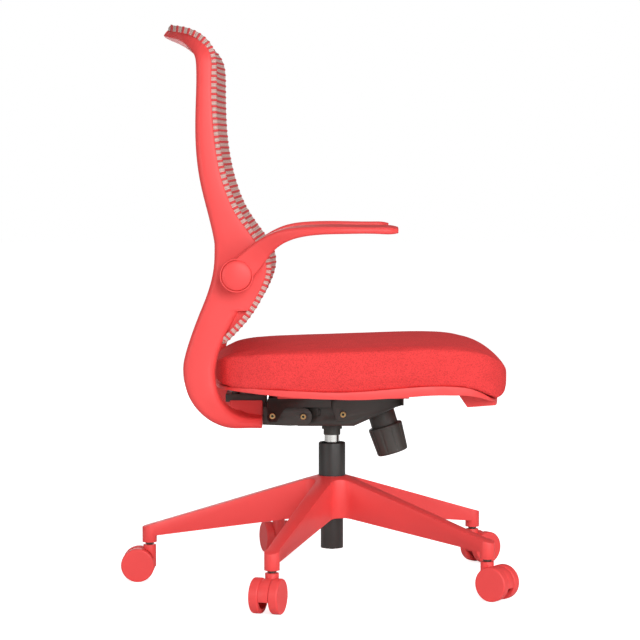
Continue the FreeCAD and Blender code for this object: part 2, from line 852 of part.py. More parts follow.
barrel = turned(
    "spring_barrel",
    (
        ("screw_dia / 2 + run_gap", "barrel_length"),
        ("barrel_dia / 2", "barrel_length"),
        ("barrel_dia / 2", "-26"),
        ("barrel_dia / 2 - 3", "-26"),
        ("barrel_dia / 2 - 3", "barrel_length - 4"),
        ("screw_dia / 2 + run_gap", "barrel_length - 4"),
    ),
)
node(place(barrel, "knob_ahead", "0", "knob_z", barrel_turn), "spring_barrel")
screw = turned(
    "tension_screw",
    (
        ("0", "-knob_length + 8"),
        ("screw_dia / 2", "-knob_length + 8"),
        ("screw_dia / 2", "barrel_length + 3"),
        ("0", "barrel_length + 3"),
    ),
)
node(place(screw, "knob_ahead", "0", "knob_z", barrel_turn), "tension_screw")
knob = turned(
    "tension_knob",
    (
        ("0", "-knob_length"),
        ("knob_dia / 2 - 3", "-knob_length"),
        ("knob_dia / 2", "0"),
        ("barrel_dia / 2 + face_gap", "0"),
        ("barrel_dia / 2 + face_gap", "-30"),
        ("screw_dia / 2 + fit_gap", "-30"),
        ("screw_dia / 2 + fit_gap", "-knob_length + 8 - fit_gap"),
        ("0", "-knob_length + 8 - fit_gap"),
    ),
)
rounded(knob, "8", lambda edge: rim(edge, size("knob_dia / 2 - 3")))
rounded(knob, "2", lambda edge: rim(edge, size("knob_dia / 2")))
node(place(knob, "knob_ahead", "0", "knob_z", barrel_turn), "tension_knob")

lever_turn = FreeCAD.Rotation(Vector(1, 0, 0), -90 - size("lever_slope"))
lever_shaft = cylinder("lever_shaft", "lever_dia / 2", "lever_length + lever_arm / cos(lever_slope)")
place(lever_shaft, "-lever_behind", "0", "presser_z", lever_turn)
presser = cylinder(
    "lever_presser",
    "presser_radius",
    "lever_behind + 5",
    "-lever_behind",
    "0",
    "presser_z",
    (1, 0, 0),
)
lever_bore = cylinder(
    "lever_bore",
    "lever_pin_dia / 2 + run_gap",
    "40",
    "-lever_behind - 20",
    "lever_arm",
    "fulcrum_z",
    (1, 0, 0),
)
node(cut("lever_rod", fuse("lever_solid", [lever_shaft, presser]), lever_bore), "lever_rod")
paddle = box(
    "paddle_block",
    "paddle_width",
    "paddle_thick",
    "paddle_length",
    "-paddle_width / 2",
    "-paddle_thick / 2",
    "lever_length + lever_arm / cos(lever_slope) - 40",
)
paddle_round = doc.addObject("Part::Fillet", "paddle_round")
paddle_round.Base = paddle
doc.recompute()
paddle_round.Edges = [(index, 4.0, 4.0) for index in range(1, len(paddle.Shape.Edges) + 1)]
paddle_bore = cylinder(
    "paddle_bore",
    "lever_dia / 2 + fit_gap",
    "lever_length + lever_arm / cos(lever_slope) + fit_gap",
)
handle = cut("lever_paddle", paddle_round, paddle_bore)
node(place(handle, "-lever_behind", "0", "presser_z", lever_turn), "lever_paddle")

# Back carrier and seat plate


def side_plate(name, corners, start, thick, side):
    """A plate beside the mechanism, from one distance off the middle outwards."""
    body = new_body(name)
    pad(body, "XZ_Plane", corners, thick)
    place(body, "0", f"{side} * (({start}) + ({thick}) / 2)", "0")
    return body


carrier_parts = []
for side in (-1, 1):
    carrier_parts.append(
        side_plate(
            "carrier_side",
            (
                ("-carrier_rear", "floor_level + 4"),
                ("-carrier_rear + 50", "floor_level + 2"),
                ("-back_pivot_behind", "back_pivot_z - 16"),
                ("-back_pivot_behind", "back_pivot_z + 16"),
                ("-carrier_rear + 40", "floor_level + 42"),
                ("-carrier_rear", "floor_level + 36"),
            ),
            "carrier_inner",
            "carrier_plate",
            side,
        )
    )
    start = "carrier_inner" if side > 0 else "-carrier_outer"
    carrier_parts.append(
        cylinder("carrier_eye", "16", "carrier_plate", "-back_pivot_behind", start, "back_pivot_z", across)
    )
carrier_parts.append(
    box(
        "carrier_bridge",
        "34",
        "2 * carrier_inner + 2",
        "carrier_plate",
        "-carrier_rear",
        "-carrier_inner - 1",
        "floor_level + 31",
    )
)
tongue_top = "(back_pivot_z - 16 + tongue_height)"
carrier_parts.append(
    box(
        "carrier_tongue",
        "carrier_reach - carrier_rear + 5",
        "tongue_width - 8",
        "14",
        "-carrier_reach",
        "-tongue_width / 2 + 4",
        f"{tongue_top}",
    )
)
carrier_parts.append(
    box(
        "carrier_step",
        "5",
        "tongue_width - 8",
        f"{tongue_top} + 14 - floor_level - 31",
        "-carrier_rear",
        "-tongue_width / 2 + 4",
        "floor_level + 31",
    )
)
carrier_holes = [
    cylinder("carrier_pin_hole", "pin_dia / 2 + run_gap", "4 * carrier_outer", "-back_pivot_behind",
             "-2 * carrier_outer", "back_pivot_z", across),
    cylinder("carrier_link_hole", "pin_dia / 2 + fit_gap", "4 * carrier_outer", "-link_behind",
             "-2 * carrier_outer", "link_z", across),
]
bolt_spots = [
    (f"-carrier_reach + {ahead}", f"{side} * (tongue_width / 2 - 24)")
    for ahead in (18, 52)
    for side in (-1, 1)
]
for x, y in bolt_spots:
    carrier_holes.append(cylinder("carrier_bolt_hole", "4 + fit_gap", "40", x, y, f"{tongue_top} - 10"))
carrier = cut("back_carrier", fuse("carrier_solid", carrier_parts), fuse("carrier_holes", carrier_holes))
node(carrier, "back_carrier")

back_screws = []
for x, y in bolt_spots:
    head = cylinder("back_screw_head", "7", "5", x, y, f"{tongue_top} + 14")
    shank = cylinder("back_screw_shank", "4", "30", x, y, f"{tongue_top} - 16")
    back_screws.append(fuse("back_screw", [head, shank]))
node(compound("back_screws", back_screws), "back_screws")

plate_parts = [
    box("plate_top_sheet", "plate_rear + plate_front", "plate_width", "plate_thick", "-plate_rear",
        "-plate_width / 2", "plate_under"),
    box("plate_front_lip", "plate_thick", "plate_width", "plate_lip", "plate_front - plate_thick",
        "-plate_width / 2", "plate_top - plate_lip"),
]
flange_inner = "carrier_inner"
for side in (-1, 1):
    plate_parts.append(
        side_plate(
            "plate_flange",
            (
                ("seat_pivot_ahead - 24", "plate_under + 1"),
                ("seat_pivot_ahead - 12", "seat_pivot_z - 12"),
                ("seat_pivot_ahead + 12", "seat_pivot_z - 12"),
                ("plate_front - 2", "plate_top - plate_lip"),
                ("plate_front - 2", "plate_under + 1"),
            ),
            flange_inner,
            "carrier_plate",
            side,
        )
    )
    skirt_end = "seat_pivot_ahead - 22" if side < 0 else "-lever_behind - 20"
    plate_parts.append(
        side_plate(
            "plate_tab",
            (
                ("-link_behind - 9", "plate_under + 1"),
                ("-link_behind - 9", "link_z - 4"),
                ("-link_behind - 5", "link_z - 11"),
                ("-link_behind + 8", "link_z - 11"),
                ("-link_behind + 24", "plate_under - plate_skirt"),
                (skirt_end, "plate_under - plate_skirt"),
                (skirt_end, "plate_under + 1"),
            ),
            "tab_inner",
            "plate_thick",
            side,
        )
    )
slot = [
    cylinder(f"link_slot_{name}", "pin_dia / 2 + 0.6", "4 * carrier_outer", f"-link_behind {name} link_slack",
             "-2 * carrier_outer", "link_z", across)
    for name in ("-", "+")
]
slot.append(
    box(
        "link_slot_middle",
        "2 * link_slack",
        "4 * carrier_outer",
        "pin_dia + 1.2",
        "-link_behind - link_slack",
        "-2 * carrier_outer",
        "link_z - pin_dia / 2 - 0.6",
    )
)
slot.append(
    cylinder("plate_pin_hole", "pin_dia / 2 + run_gap", "4 * carrier_outer", "seat_pivot_ahead",
             "-2 * carrier_outer", "seat_pivot_z", across)
)
screw_spots = [(x, y) for x in ("-80", "100") for y in ("-56", "56")]
for x, y in screw_spots:
    slot.append(cylinder("plate_screw_hole", "3 + fit_gap", "20", x, y, "plate_under - 5"))
plate = cut("seat_plate", fuse("plate_solid", plate_parts), fuse("plate_holes", slot))
node(plate, "seat_plate")

seat_screws = []
for x, y in screw_spots:
    head = cylinder("seat_screw_head", "5.5", "3", x, y, "plate_under - 3")
    shank = cylinder("seat_screw_shank", "3", "plate_thick + 16", x, y, "plate_under - 1")
    seat_screws.append(fuse("seat_screw", [head, shank]))
node(compound("seat_screws", seat_screws), "seat_screws")


# Soft and freely curved pieces


def spline(points):
    curve = Part.BSplineCurve()
    curve.interpolate([Vector(*point) for point in points])
    return curve


def band(upper, lower):
    """A closed flat face between two curves that run the same way."""
    first, second = upper.toShape(), lower.toShape()
    start = Part.makeLine(upper.StartPoint, lower.StartPoint)
    end = Part.makeLine(upper.EndPoint, lower.EndPoint)
    return Part.Face(Part.Wire(Part.__sortEdges__([first, end, second, start])))


def beside(curve, distance, first=0.0, last=1.0, count=26):
    """A curve in the XZ plane that keeps a distance on the rear side of another."""
    points = []
    span = curve.LastParameter - curve.FirstParameter
    for step in range(count):
        share = first + (last - first) * step / (count - 1)
        at = curve.FirstParameter + span * share
        along = curve.tangent(at)[0]
        spot = curve.value(at)
        points.append((spot.x - along.z * distance, 0, spot.z + along.x * distance))
    return spline(points)


def through(face, width, start=None):
    """The face, drawn on the middle plane, drawn out to a width across."""
    begin = -width / 2 if start is None else start
    solid = face.extrude(Vector(0, width, 0))
    solid.translate(Vector(0, begin, 0))
    return solid


SEAT_POWER = 4.6


def oval(rear, front, width, low, high, power=SEAT_POWER, count=40):
    """An upright prism on a rounded outline seen from above."""
    middle, half = (front - rear) / 2, (front + rear) / 2
    points = []
    for step in range(count):
        angle = 2 * math.pi * step / count
        ahead, aside = (
            math.copysign(abs(value) ** (2 / power), value)
            for value in (math.cos(angle), math.sin(angle))
        )
        points.append(Vector(middle + half * ahead, width / 2 * aside, low))
    curve = Part.BSplineCurve()
    curve.interpolate(points, PeriodicFlag=True)
    return Part.Face(Part.Wire(curve.toShape())).extrude(Vector(0, 0, high - low))


seat_rear, seat_front = size("seat_rear"), size("seat_front")
seat_width, inset = size("seat_width"), size("pan_inset")
plate_z = size("plate_top")


def rim_curve(lift):
    """The side view of the rim's upper edge, raised by an amount."""
    base = plate_z + lift
    return spline(
        (
            (-seat_rear - 20, 0, base + size("pan_rear_rise") + 3),
            (-seat_rear * 0.5, 0, base + (size("pan_rear_rise") + size("pan_mid_rise")) / 2 - 1),
            (20, 0, base + size("pan_mid_rise")),
            (seat_front * 0.35, 0, base + (size("pan_mid_rise") + size("pan_crest_rise")) / 2 + 1),
            (seat_front * 0.6, 0, base + size("pan_crest_rise")),
            (seat_front * 0.8, 0, base + size("pan_crest_rise") - 6),
            (seat_front + 20, 0, base + size("pan_nose_rise") - 8),
        )
    )


rim_height, floor = size("pan_rim"), size("pan_floor")
gap, fit, lay = size("face_gap"), size("fit_gap"), size("lay_gap")
low, high = plate_z - 60, plate_z + 90
pan_front = size("pan_front")
pan_plan = oval(seat_rear - inset, pan_front, seat_width - 2 * inset, low, high)
wall = size("pan_wall")
recess_plan = oval(seat_rear - inset - wall, pan_front - wall, seat_width - 2 * (inset + wall), low, high)
edge = wall + 1
board_plan = oval(seat_rear - inset - edge, pan_front - edge, seat_width - 2 * (inset + edge), low, high)

slab = through(band(rim_curve(0), rim_curve(-rim_height)), 2 * seat_width).common(pan_plan)
room = through(band(rim_curve(20), rim_curve(floor - rim_height)), 2 * seat_width).common(recess_plan)
foot = Part.makeBox(240, 190, 26, Vector(-100, -95, plate_z))
under = through(band(rim_curve(-rim_height + 1), rim_curve(-rim_height - 60)), 2 * seat_width)
lip_corners = [
    Vector(seat_front * 0.70, 0, plate_z + 20),
    Vector(seat_front * 0.76, 0, plate_z - 9),
    Vector(seat_front * 0.93, 0, plate_z - 5),
    Vector(seat_front * 0.97, 0, plate_z + 16),
]
lip = through(Part.Face(Part.makePolygon(lip_corners + lip_corners[:1])), seat_width * 0.66)
lip = lip.common(pan_plan)
pan = slab.cut(room).fuse([foot.common(under), lip.common(under)]).removeSplitter()
screw_bores = [
    Part.makeCylinder(3 + fit, 40, Vector(size(x), size(y), plate_z - 5)) for x, y in screw_spots
]
pan = pan.cut(screw_bores)
node(formed("seat_pan", pan), "seat_pan")
board = through(band(rim_curve(-lay), rim_curve(floor - rim_height + gap)), 2 * seat_width)
board = board.common(board_plan)
node(formed("seat_board", board.cut(screw_bores)), "seat_board")


CUSHION_TRIM = 2


def cushion_section(x):
    """The cushion cut across at one place along the seat."""
    middle, half = (seat_front - seat_rear) / 2, (seat_front + seat_rear) / 2
    share = (x - middle) / half
    width = seat_width / 2 * (1 - abs(share) ** SEAT_POWER) ** (1 / SEAT_POWER)
    rim_edge = rim_curve(-CUSHION_TRIM)
    bottom = rim_edge.intersectCC(
        Part.LineSegment(Vector(x, 0, plate_z - 200), Vector(x, 0, plate_z + 300)).toShape().Curve
    )[0]
    nose = plate_z + size("nose_rise" if share > 0 else "pan_rear_rise + 26")
    foot_z = nose - (nose - bottom.Z) * (1 - abs(share) ** 12) ** 0.5
    crown_z = plate_z + size("cushion_rise") - size("cushion_slope") * (1 - share) / 2
    fall = 4.2 if share > 0 else 9.0
    top = nose + (crown_z - nose) * (1 - abs(share) ** fall) ** 0.5
    shoulder = top - min(size("cushion_crown") * width / seat_width * 2, (top - foot_z) * 0.3)
    tuck = min(7.0, width * 0.1)
    corners = [
        Vector(x, -width + tuck, foot_z),
        Vector(x, width - tuck, foot_z),
        Vector(x, width - tuck * 2.2, shoulder),
        Vector(x, -width + tuck * 2.2, shoulder),
    ]
    belly = foot_z + (shoulder - foot_z) * 0.45
    edges = [
        Part.LineSegment(corners[0], corners[1]),
        Part.Arc(corners[1], Vector(x, width, belly), corners[2]),
        Part.Arc(corners[2], Vector(x, 0, top), corners[3]),
        Part.Arc(corners[3], Vector(x, -width, belly), corners[0]),
    ]
    return Part.Wire([edge.toShape() for edge in edges])


stations = (-0.995, -0.97, -0.9, -0.75, -0.4, 0.1, 0.5, 0.75, 0.88, 0.955, 0.985, 0.997)
seat_middle, seat_half = (seat_front - seat_rear) / 2, (seat_front + seat_rear) / 2
cushion = Part.makeLoft([cushion_section(seat_middle + seat_half * share) for share in stations], True)
below_rim = through(band(rim_curve(lay), rim_curve(-60)), 2 * seat_width)
node(formed("seat_cushion", cushion.cut(below_rim)), "seat_cushion")

# Back. The side view is drawn in heights above the floor at the usual size, then lifted to the pivot.

lift = size("back_pivot_z") - BACK_DATUM
MESH_LINE = (
    (-193.5, 457.5), (-144, 510), (-120, 550), (-107.5, 604), (-134, 656), (-168, 706),
    (-190.5, 767), (-204, 870), (-206.5, 935), (-215.5, 985), (-246, 1014.5), (-287, 1023),
)
LIP_END = (-287.5, 1012.8, -298, 1002)
UPRIGHT_TOP = (
    (0.975, 16), (0.95, 19), (0.92, 22), (0.885, 24.5), (0.85, 25), (0.8, 25),
    (0.7, 27), (0.6, 32.5), (0.52, 36), (0.45, 41), (0.4, 52),
)
UPRIGHT_FOOT = (
    (-153, 640, -207, 625), (-150, 600, -208.5, 598), (-154, 560, -218, 560), (-165, 521, -232, 524),
    (-187, 479, -248.5, 480), (-203, 440, -261, 440), (-208, 413, -264.5, 413),
)
SCOOP = (
    (200, 54, 225, 192), (220, 47, 223, 176), (240, 36, 211, 136), (258, 25, 186, 70), (270, 19, 160, -14),
)
SCOOP_END = (-128, 122, -14)
WEB = ((-180, 535), (-135, 535), (-197, 462), (-212, 462))
TONGUE_REAR = -188


def raised(points):
    return [(x, 0, z + lift) for x, z in points]


half_back = size("back_width") / 2
thick = size("upright_thick")
mesh_thick, rail_thick, rail_width = size("mesh_thick"), size("rail_thick"), size("rail_width")
mesh_line = spline(raised(MESH_LINE))
rail_front = beside(mesh_line, mesh_thick + gap)
rail_rear = beside(mesh_line, mesh_thick + gap + rail_thick)
rail_half = half_back - size("rail_inset")

top_x, foot_z = MESH_LINE[-1][0], MESH_LINE[0][1] + lift


def window(margin, radius):
    """The opening seen from the front, open at the rear end of the top."""
    low_z = foot_z + margin
    corner_spot = Vector(top_x + margin, margin - rail_half, low_z)
    block = Part.makeBox(100 - margin - top_x, 2 * (rail_half - margin), 900, corner_spot)
    edges = [
        edge
        for edge in block.Edges
        if (abs(edge.CenterOfMass.z - low_z) < 0.1 and abs(edge.CenterOfMass.y) > 10)
        or (abs(edge.CenterOfMass.x - top_x - margin) < 0.1 and abs(edge.CenterOfMass.y) > 10)
    ]
    return block.makeFillet(radius, edges)


def rolled(front, rear, half, radius):
    """A thick sheet between two lines whose front edges are rolled back."""
    sheet_solid = through(band(front, rear), 2 * half)
    halfway = front.value((front.FirstParameter + front.LastParameter) / 2)

    def at_front(edge):
        spot = Part.Vertex(Vector(halfway.x, edge.CenterOfMass.y, halfway.z))
        return edge.Length > 300 and edge.distToShape(spot)[0] < 0.5

    return sheet_solid.makeFillet(radius, [edge for edge in sheet_solid.Edges if at_front(edge)])


wrap = mesh_thick + gap
mesh_roll = size("mesh_roll")
corner = size("mesh_corner")
outer_block = window(-0.01, corner)
inner_block = window(wrap, corner - wrap)
whole_sheet = rolled(mesh_line, rail_rear, rail_half, mesh_roll).common(outer_block)
core = rolled(rail_front, beside(mesh_line, wrap + rail_thick + 5), rail_half - wrap, mesh_roll - wrap)
node(formed("back_mesh", whole_sheet.cut(core)), "back_mesh")
rail_core = rolled(rail_front, rail_rear, rail_half - wrap - gap, mesh_roll - wrap)
rails = rail_core.common(inner_block).cut(window(rail_width, corner - 6))
node(formed("mesh_carrier", rails), "mesh_carrier")


def ring(centre, inward, deep, near, far, radius):
    """A rounded rectangle that spans one direction in the side view and a stretch across."""
    across_mid, across_half = (near + far) / 2, abs(far - near) / 2
    deep_half = deep / 2
    radius = min(radius, across_half * 0.9, deep_half * 0.9)
    wide = Vector(0, 1, 0)
    middle = centre + wide * across_mid

    def spot(u, v):
        return middle + inward * u + wide * v

    edges = []
    corner = radius * (1 - math.sqrt(0.5))
    for su, sv in ((1, 1), (-1, 1), (-1, -1), (1, -1)):
        flat = su * sv < 0
        inner_u, inner_v = su * (deep_half - radius), sv * (across_half - radius)
        first = spot(inner_u, sv * across_half) if flat else spot(su * deep_half, inner_v)
        last = spot(su * deep_half, inner_v) if flat else spot(inner_u, sv * across_half)
        mid = spot(su * (deep_half - corner), sv * (across_half - corner))
        edges.append((first, mid, last))
    wire = []
    for index, (first, mid, last) in enumerate(edges):
        wire.append(Part.Arc(first, mid, last).toShape())
        wire.append(Part.makeLine(last, edges[(index + 1) % 4][0]))
    return Part.Wire(wire)


FRAME_TRIM = 1
frame_front = wrap + rail_thick - FRAME_TRIM
lobe_front = beside(mesh_line, frame_front, 0.12, 0.62, 20)
lobe_span = lobe_front.LastParameter - lobe_front.FirstParameter
lobe_points = [lobe_front.value(lobe_front.FirstParameter + lobe_span * step / 19) for step in range(20)]
lobe_points = [point for point in lobe_points if 519 + lift < point.z < 700 + lift]
lobe_curve = spline([(point.x, 0, point.z) for point in lobe_points])
rear_high = Vector(lobe_curve.EndPoint.x - 22, 0, lobe_curve.EndPoint.z)
rear_low = Vector(-190, 0, lobe_curve.StartPoint.z)
lobe_wire = Part.Wire(
    [
        lobe_curve.toShape(),
        Part.makeLine(lobe_curve.EndPoint, rear_high),
        Part.makeLine(rear_high, rear_low),
        Part.makeLine(rear_low, lobe_curve.StartPoint),
    ]
)
lobe = through(Part.Face(lobe_wire), thick - 2, -half_back + 1)
lobe_edges = [
    edge
    for edge in lobe.Edges
    if edge.BoundBox.YLength < 0.1 and edge.CenterOfMass.x > -176 and edge.CenterOfMass.z < 690 + lift
]
lobe = lobe.makeFillet(5, [edge for edge in lobe_edges if edge.Length > 100])


scoop_radius, scoop_thick = size("scoop_radius"), size("scoop_thick")
scoop_middle = Vector(scoop_radius - 264.5, 0, 413 + lift)
edge_round = size("upright_round")


def pair_ring(front_x, front_z, rear_x, rear_z):
    """The upright cut between a point of its front edge and one of its rear edge."""
    front, rear = Vector(front_x, 0, front_z + lift), Vector(rear_x, 0, rear_z + lift)
    inward = (front - rear).normalize()
    deep = front.distanceToPoint(rear)
    lip_line.append((front, rear))
    return ring((front + rear) / 2, inward, deep, -half_back, thick - half_back, edge_round)


lip_line = []
rings = [pair_ring(*LIP_END)]
for share, deep in UPRIGHT_TOP:
    at = mesh_line.FirstParameter + (mesh_line.LastParameter - mesh_line.FirstParameter) * share
    along = mesh_line.tangent(at)[0]
    inward = Vector(along.z, 0, -along.x)
    middle = mesh_line.value(at) - inward * (frame_front + deep / 2)
    lip_line.append((middle + inward * (deep / 2), middle - inward * (deep / 2)))
    rings.append(ring(middle, inward, deep, -half_back, thick - half_back, edge_round))
rings += [pair_ring(*pair) for pair in UPRIGHT_FOOT]
for angle, deep, far, near in SCOOP:
    inward = Vector(-math.cos(math.radians(angle)), 0, -math.sin(math.radians(angle)))
    outer = scoop_middle - inward * scoop_radius
    deep = deep * (scoop_thick / 15 if angle > 250 else 1)
    far = far - 225 + half_back
    near = near if near < 0 else near - 225 + half_back
    rings.append(ring(outer + inward * (deep / 2), inward, deep, -far, -near, edge_round))
end_x, end_far, end_near = SCOOP_END
end_centre = Vector(end_x, 0, scoop_middle.z - scoop_radius + scoop_thick / 2)
rings.append(ring(end_centre, Vector(0, 0, 1), scoop_thick, -end_far, -end_near, edge_round))
upright = Part.makeLoft(rings, True)

tongue_foot = scoop_middle.z - scoop_radius
tongue = Part.makeBox(
    end_x - TONGUE_REAR,
    size("tongue_width"),
    size("tongue_height"),
    Vector(TONGUE_REAR, -size("tongue_width") / 2, tongue_foot + 2),
)
tongue = tongue.common(
    Part.makeBox(80, 400, size(tongue_top) - gap - tongue_foot, Vector(-200, -200, tongue_foot))
)
lip_front, lip_rear = lip_line[0], lip_line[2]
rail_spots = [lip_front[0], lip_front[1], lip_rear[1], lip_rear[0]]
top_rail = through(Part.Face(Part.makePolygon(rail_spots + rail_spots[:1])), 2 * (half_back - thick / 2))
top_rail = top_rail.makeFillet(5, [edge for edge in top_rail.Edges if edge.BoundBox.YLength > 100])

web_spots = [Vector(x, 0, z + lift) for x, z in WEB]
web = through(
    Part.Face(Part.makePolygon(web_spots + web_spots[:1])), size("web_thick"), size("web_inset") - half_back
)
side_one = upright.fuse([lobe, web])
side_two = side_one.mirror(Vector(0, 0, 0), Vector(0, 1, 0))
room_front, room_rear = (
    beside(mesh_line, distance, first=-0.001) for distance in (-20, wrap + rail_thick + lay)
)
mesh_room = through(band(room_front, room_rear), 2 * size("back_width"))
frame = side_one.fuse([side_two, tongue, top_rail]).cut(mesh_room)
pivot = Vector(-size("arm_pivot_behind"), 0, size("arm_pivot_z"))
bolt_radius = size("arm_bolt_dia / 2") + fit
frame = frame.cut(
    [Part.makeCylinder(bolt_radius, 1000, pivot - Vector(0, 500, 0), Vector(0, 1, 0))]
    + [
        Part.makeCylinder(4 + fit, 30.5, Vector(size(x), size(y), size(tongue_top) - 16.5))
        for x, y in bolt_spots
    ]
)
node(formed("back_frame", frame), "back_frame")

# Arms


def arm(side):
    """One arm, from its hub to the tip of its pad."""
    hub_face = size("hub_face")
    hub_width = size("arm_hub_width")
    hub_mid = hub_face + hub_width / 2
    pad_mid = hub_mid + size("arm_pad_out")
    pad_width, pad_thick = size("arm_pad_width"), size("arm_pad_thick")
    path = (
        (0, 0, 48, 46, 0.0, 30),
        (27, 27, 46, 42, 0.02, 30),
        (50, 50, 42, 32, 0.25, 36),
        (80, 68, 25, 23, 0.6, 50),
        (125, 77.5, 7, 15.5, 0.9, 66),
        (185, 79.5, 1, pad_thick, 1.0, pad_width),
        (250, 79, -1, pad_thick - 0.7, 1.0, pad_width - 6),
        (274, 78.3, -2, pad_thick - 2, 1.0, pad_width - 24),
        (281, 78, -3, pad_thick - 5, 1.0, pad_width - 44),
    )
    rings = []
    for ahead, above, slope, tall, share, wide in path:
        slope = math.radians(slope)
        up = Vector(-math.sin(slope), 0, math.cos(slope))
        middle = hub_mid + (pad_mid - hub_mid) * share
        centre = pivot + Vector(ahead, 0, above)
        near, far = sorted((side * (middle - wide / 2), side * (middle + wide / 2)))
        rings.append(ring(centre, up, tall, near, far, 5.5 if tall > 12 else tall * 0.42))
    blade = Part.makeLoft(rings, True)
    outward = Vector(0, side, 0)
    hub = Part.makeCylinder(size("arm_hub_dia") / 2, hub_width, pivot + outward * hub_face, outward)
    outer_rim = [edge for edge in hub.Edges if rim(edge, size("arm_hub_dia") / 2)]
    hub = hub.makeFillet(2.5, outer_rim)
    whole = hub.fuse(blade)
    tools = [
        Part.makeCylinder(radius, deep, pivot + outward * start, outward)
        for radius, deep, start in (
            (size("arm_bolt_dia / 2 + run_gap"), hub_width + 2, hub_face - 1),
            (size("bolt_head_dia / 2") + 1, 20, hub_face + size("bolt_seat")),
            (size("arm_cap_dia / 2 + fit_gap"), 40, hub_face + hub_width - size("arm_cap_seat")),
        )
    ]
    return whole.cut(tools)


for side, word in ((-1, "right"), (1, "left")):
    node(formed(f"arm_{word}", arm(side)), f"arm_{word}")
    outward = (0, side, 0)
    bolt = turned(
        f"arm_bolt_{word}",
        (
            ("0", "back_width / 2 - upright_thick + 1"),
            ("arm_bolt_dia / 2", "back_width / 2 - upright_thick + 1"),
            ("arm_bolt_dia / 2", "hub_face + bolt_seat + face_gap"),
            ("bolt_head_dia / 2", "hub_face + bolt_seat + face_gap"),
            ("bolt_head_dia / 2", "hub_face + bolt_seat + 6"),
            ("0", "hub_face + bolt_seat + 6"),
        ),
    )
    node(place(bolt, "-arm_pivot_behind", "0", "arm_pivot_z", turn_to(outward)), f"arm_bolt_{word}")
    cap = turned(
        f"arm_cap_{word}",
        (
            ("0", "hub_face + arm_hub_width - arm_cap_seat"),
            ("arm_cap_dia / 2", "hub_face + arm_hub_width - arm_cap_seat"),
            ("arm_cap_dia / 2", "hub_face + arm_hub_width - 0.5"),
            ("arm_cap_dia / 2 - 2", "hub_face + arm_hub_width + 1"),
            ("arm_cap_dia / 4", "hub_face + arm_hub_width + 3.4"),
            ("0", "hub_face + arm_hub_width + 4"),
        ),
    )
    node(place(cap, "-arm_pivot_behind", "0", "arm_pivot_z", turn_to(outward)), f"arm_cap_{word}")
    washer = turned(
        f"arm_washer_{word}",
        (
            ("arm_bolt_dia / 2 + fit_gap", "back_width / 2"),
            ("arm_hub_dia / 2 - 4", "back_width / 2"),
            ("arm_hub_dia / 2 - 4", "washer_face"),
            ("arm_bolt_dia / 2 + fit_gap", "washer_face"),
        ),
    )
    node(place(washer, "-arm_pivot_behind", "0", "arm_pivot_z", turn_to(outward)), f"arm_washer_{word}")

# Export

doc.recompute()
for thing in doc.Objects:
    if "Invalid" in thing.State or "Error" in thing.State:
        raise RuntimeError(f"{thing.Name} did not build: {thing.State}")
for thing in nodes:
    shape = thing.Shape
    if shape.isNull() or not shape.isValid() or not shape.Solids:
        raise RuntimeError(f"{thing.Label} is not a valid solid")
os.makedirs("parts", exist_ok=True)
for thing in nodes:
    thing.Shape.exportStep(f"parts/{thing.Label}.step")
print(len(nodes), "parts written")
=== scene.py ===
import json
import math

import bmesh
import bpy
import numpy as np
from bpy.props import FloatProperty, FloatVectorProperty, IntProperty, PointerProperty
from mathutils import Matrix, Vector


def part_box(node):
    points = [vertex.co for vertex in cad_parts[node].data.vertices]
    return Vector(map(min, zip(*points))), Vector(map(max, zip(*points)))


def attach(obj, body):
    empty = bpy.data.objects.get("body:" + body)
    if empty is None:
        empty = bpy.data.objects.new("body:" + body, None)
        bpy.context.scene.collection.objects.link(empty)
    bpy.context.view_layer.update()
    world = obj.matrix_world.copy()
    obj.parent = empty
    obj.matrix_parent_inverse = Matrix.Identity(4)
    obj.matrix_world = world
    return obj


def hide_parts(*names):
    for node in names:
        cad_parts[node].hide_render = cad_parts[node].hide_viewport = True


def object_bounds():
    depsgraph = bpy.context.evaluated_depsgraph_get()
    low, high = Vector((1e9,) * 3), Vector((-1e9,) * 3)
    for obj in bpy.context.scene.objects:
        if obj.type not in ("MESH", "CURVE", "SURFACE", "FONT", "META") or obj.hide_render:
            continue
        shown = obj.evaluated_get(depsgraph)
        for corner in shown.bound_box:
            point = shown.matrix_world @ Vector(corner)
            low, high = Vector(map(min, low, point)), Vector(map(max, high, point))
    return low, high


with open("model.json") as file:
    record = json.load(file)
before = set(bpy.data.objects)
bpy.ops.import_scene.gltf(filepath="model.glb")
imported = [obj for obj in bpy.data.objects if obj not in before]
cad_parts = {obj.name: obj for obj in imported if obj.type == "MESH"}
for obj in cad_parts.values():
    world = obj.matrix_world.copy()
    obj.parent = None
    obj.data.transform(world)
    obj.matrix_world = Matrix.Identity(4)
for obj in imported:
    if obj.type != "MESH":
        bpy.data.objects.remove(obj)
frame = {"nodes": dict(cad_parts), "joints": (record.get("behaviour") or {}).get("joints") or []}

bl_info = {
    "name": "Office Chair Finish",
    "version": (1, 0, 0),
    "blender": (4, 5, 0),
    "location": "View3D > Sidebar > Chair",
    "description": "Dresses the frame of an office chair with its plastic, cloth, mesh and metal",
    "category": "Object",
}

# Places that the frame gives, in metres

cad_low, cad_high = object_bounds()
joints = {entry["name"]: entry for entry in frame["joints"]}
back_pivot = Vector(joints["back_tilt"]["pos_m"])
plate_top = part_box("seat_plate")[1].z
back_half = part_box("back_frame")[1].y
mesh_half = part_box("back_mesh")[1].y
SIDES = ((-1, "right"), (1, "left"))

# Side views of the back, as X and the height above the back pivot

